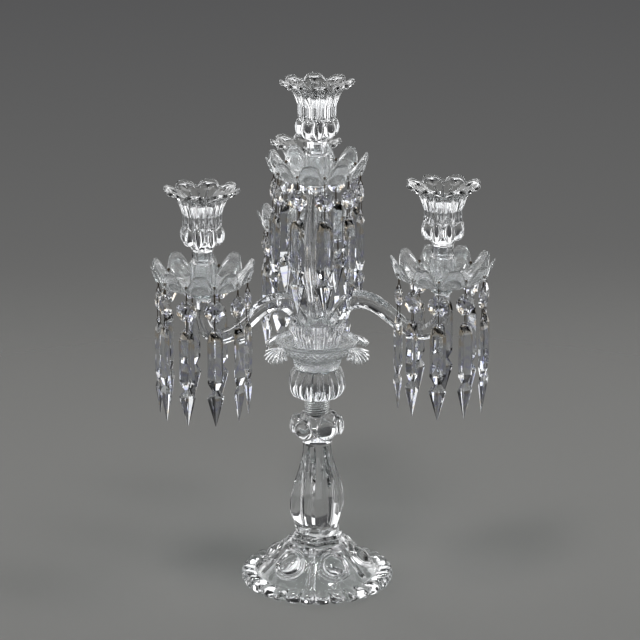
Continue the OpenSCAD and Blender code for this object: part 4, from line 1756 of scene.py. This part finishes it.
@dataclass
class Studio:
    """Plain paper sweep, soft lamps and the photograph's camera, sizes in metres."""

    floor_color: str = "#7a7a78"
    floor_half: float = 2.4
    floor_z: float = -0.0004
    # The paper's grain, drawn coarser than the real one, which is too fine to show
    grain_mm: float = 2.0
    grain_depth_mm: float = 0.1
    grain_strength: float = 0.3
    paper_roughness: float = 0.85
    paper_specular: float = 0.2
    # Radii between which the paper gives way to the backdrop
    paper_end: Pair = (0.45, 1.6)
    # The backdrop's colours, each at the sine of its height above the horizon
    backdrop: tuple[tuple[float, str], ...] = (
        (-0.4, "#7a7a78"), (-0.15, "#545455"), (0.0, "#4a4a4b"), (0.3, "#262627"),
    )
    azimuth: float = -5.0
    pitch: float = 16.5
    distance: float = 2.847
    aim_z: float = 0.297
    focal_px: float = 2640.0
    image_px: float = 640.0
    axis_px: float = 317.0
    sensor_mm: float = 36.0
    clip_end: float = 40.0
    lamps: tuple[Softbox, ...] = (
        Softbox("box_left", (-1.4, -0.5, 0.8), (1.7, 1.7), 8.5),
        Softbox("box_right", (1.4, -0.4, 0.8), (1.4, 1.7), 7.0),
        Softbox("strip_left", (-0.95, 1.25, 0.65), (0.7, 1.2), 4.2),
        Softbox("strip_right", (1.0, 1.25, 0.65), (0.7, 1.2), 4.2),
        Softbox("side_left", (-1.5, 0.6, 0.65), (0.5, 1.2), 3.0),
        Softbox("side_right", (1.5, 0.6, 0.65), (0.5, 1.2), 3.0),
        Softbox("back_panel", (0.0, 1.5, 1.25), (2.4, 1.2), 10.0),
        Softbox("top_left", (-0.3, -0.7, 1.8), (0.3, 0.3), 12.0),
        Softbox("top_right", (0.6, -0.4, 1.8), (0.3, 0.3), 7.0),
    )

    def paper(self) -> bpy.types.Material:
        """Make the floor's matt paper, which fades out to the backdrop.

        Returns:
            The material.
        """
        material, tree = new_material("matt_paper")
        place = {"Vector": add_node(tree, "ShaderNodeTexCoord").outputs["Object"]}
        grain = add_node(tree, "ShaderNodeTexNoise", spots_of(self.grain_mm, 4.0), place)
        ripple = add_node(
            tree,
            "ShaderNodeBump",
            {"Distance": self.grain_depth_mm * MM, "Strength": self.grain_strength},
            {"Height": grain.outputs["Fac"]},
        )
        paper = add_node(
            tree,
            "ShaderNodeBsdfPrincipled",
            {
                "Base Color": linear(self.floor_color),
                "Roughness": self.paper_roughness,
                "Specular IOR Level": self.paper_specular,
            },
            {"Normal": ripple.outputs["Normal"]},
        )
        away = add_node(tree, "ShaderNodeVectorMath", {"operation": "LENGTH"}, place)
        near, far = self.paper_end
        fade = add_node(
            tree,
            "ShaderNodeMapRange",
            {"interpolation_type": "SMOOTHSTEP", "From Min": near, "From Max": far},
            {"Value": away.outputs["Value"]},
        )
        gone = add_node(tree, "ShaderNodeBsdfTransparent")
        mixed = add_node(
            tree,
            "ShaderNodeMixShader",
            None,
            {0: fade.outputs["Result"], 1: paper.outputs["BSDF"], 2: gone.outputs["BSDF"]},
        )
        add_node(tree, "ShaderNodeOutputMaterial", None, {"Surface": mixed.outputs["Shader"]})
        return material

    def floor(self) -> None:
        """Lay the floor."""
        h, z = self.floor_half, self.floor_z
        mesh = bpy.data.meshes.new("floor_mesh")
        mesh.from_pydata([(-h, -h, z), (h, -h, z), (h, h, z), (-h, h, z)], [], [(0, 1, 2, 3)])
        mesh.materials.append(self.paper())
        shown("floor", mesh)

    def air(self) -> None:
        """Surround the floor with a backdrop that darkens upwards."""
        world = bpy.data.worlds.new("studio_air")
        world.use_nodes = True
        tree = world.node_tree
        tree.nodes.clear()
        coords = add_node(tree, "ShaderNodeTexCoord")
        parts = add_node(tree, "ShaderNodeSeparateXYZ", None, {"Vector": coords.outputs["Generated"]})
        low, high = self.backdrop[0][0], self.backdrop[-1][0]
        height = add_node(
            tree, "ShaderNodeMapRange", {"From Min": low, "From Max": high}, {"Value": parts.outputs["Z"]}
        )
        ramp = add_node(tree, "ShaderNodeValToRGB", None, {"Fac": height.outputs["Result"]})
        color = set_stops(ramp, [((at - low) / (high - low), tint) for at, tint in self.backdrop])
        glow = add_node(tree, "ShaderNodeBackground", None, {"Color": color})
        add_node(tree, "ShaderNodeOutputWorld", None, {"Surface": glow.outputs["Background"]})
        bpy.context.scene.world = world

    def camera(self) -> None:
        """Set the camera at the photograph's viewing angle."""
        data = bpy.data.cameras.new("photo_camera")
        data.sensor_fit = "HORIZONTAL"
        data.sensor_width = self.sensor_mm
        data.lens = self.focal_px / self.image_px * self.sensor_mm
        data.shift_x = (self.image_px / 2.0 - self.axis_px) / self.image_px
        data.clip_end = self.clip_end
        turn, lift = math.radians(self.azimuth), math.radians(self.pitch)
        away = Vector((math.sin(turn) * math.cos(lift), -math.cos(turn) * math.cos(lift), math.sin(lift)))
        obj = shown("photo_camera", data)
        obj.location = Vector((0.0, 0.0, self.aim_z)) + away * self.distance
        obj.rotation_euler = (-away).to_track_quat("-Z", "Y").to_euler()
        bpy.context.scene.camera = obj

    def build(self) -> None:
        """Build the studio."""
        self.floor()
        self.air()
        for lamp in self.lamps:
            lamp.build()
        self.camera()
        bpy.context.scene.view_settings.view_transform = "Standard"


def main() -> None:
    """Build the girandole and its studio."""
    logging.basicConfig(level=logging.INFO, format="%(name)s: %(message)s")
    materials = {finish.name: finish.material() for finish in (PRESSED, GRAINED, CUT, GROUND, PATINA)}
    parts: tuple[SubAssembly, ...] = (
        Foot(), Stem(), GadroonKnop(), ReceiverBowl(), ArmHub(), CentralColumn(), Arm(), DripDish(),
        CandleCup(), HookPins(), Drop(), DropLink(),
    )
    for part in parts:
        part.assemble(materials)
    Studio().build()


if __name__ == "__main__":
    main()
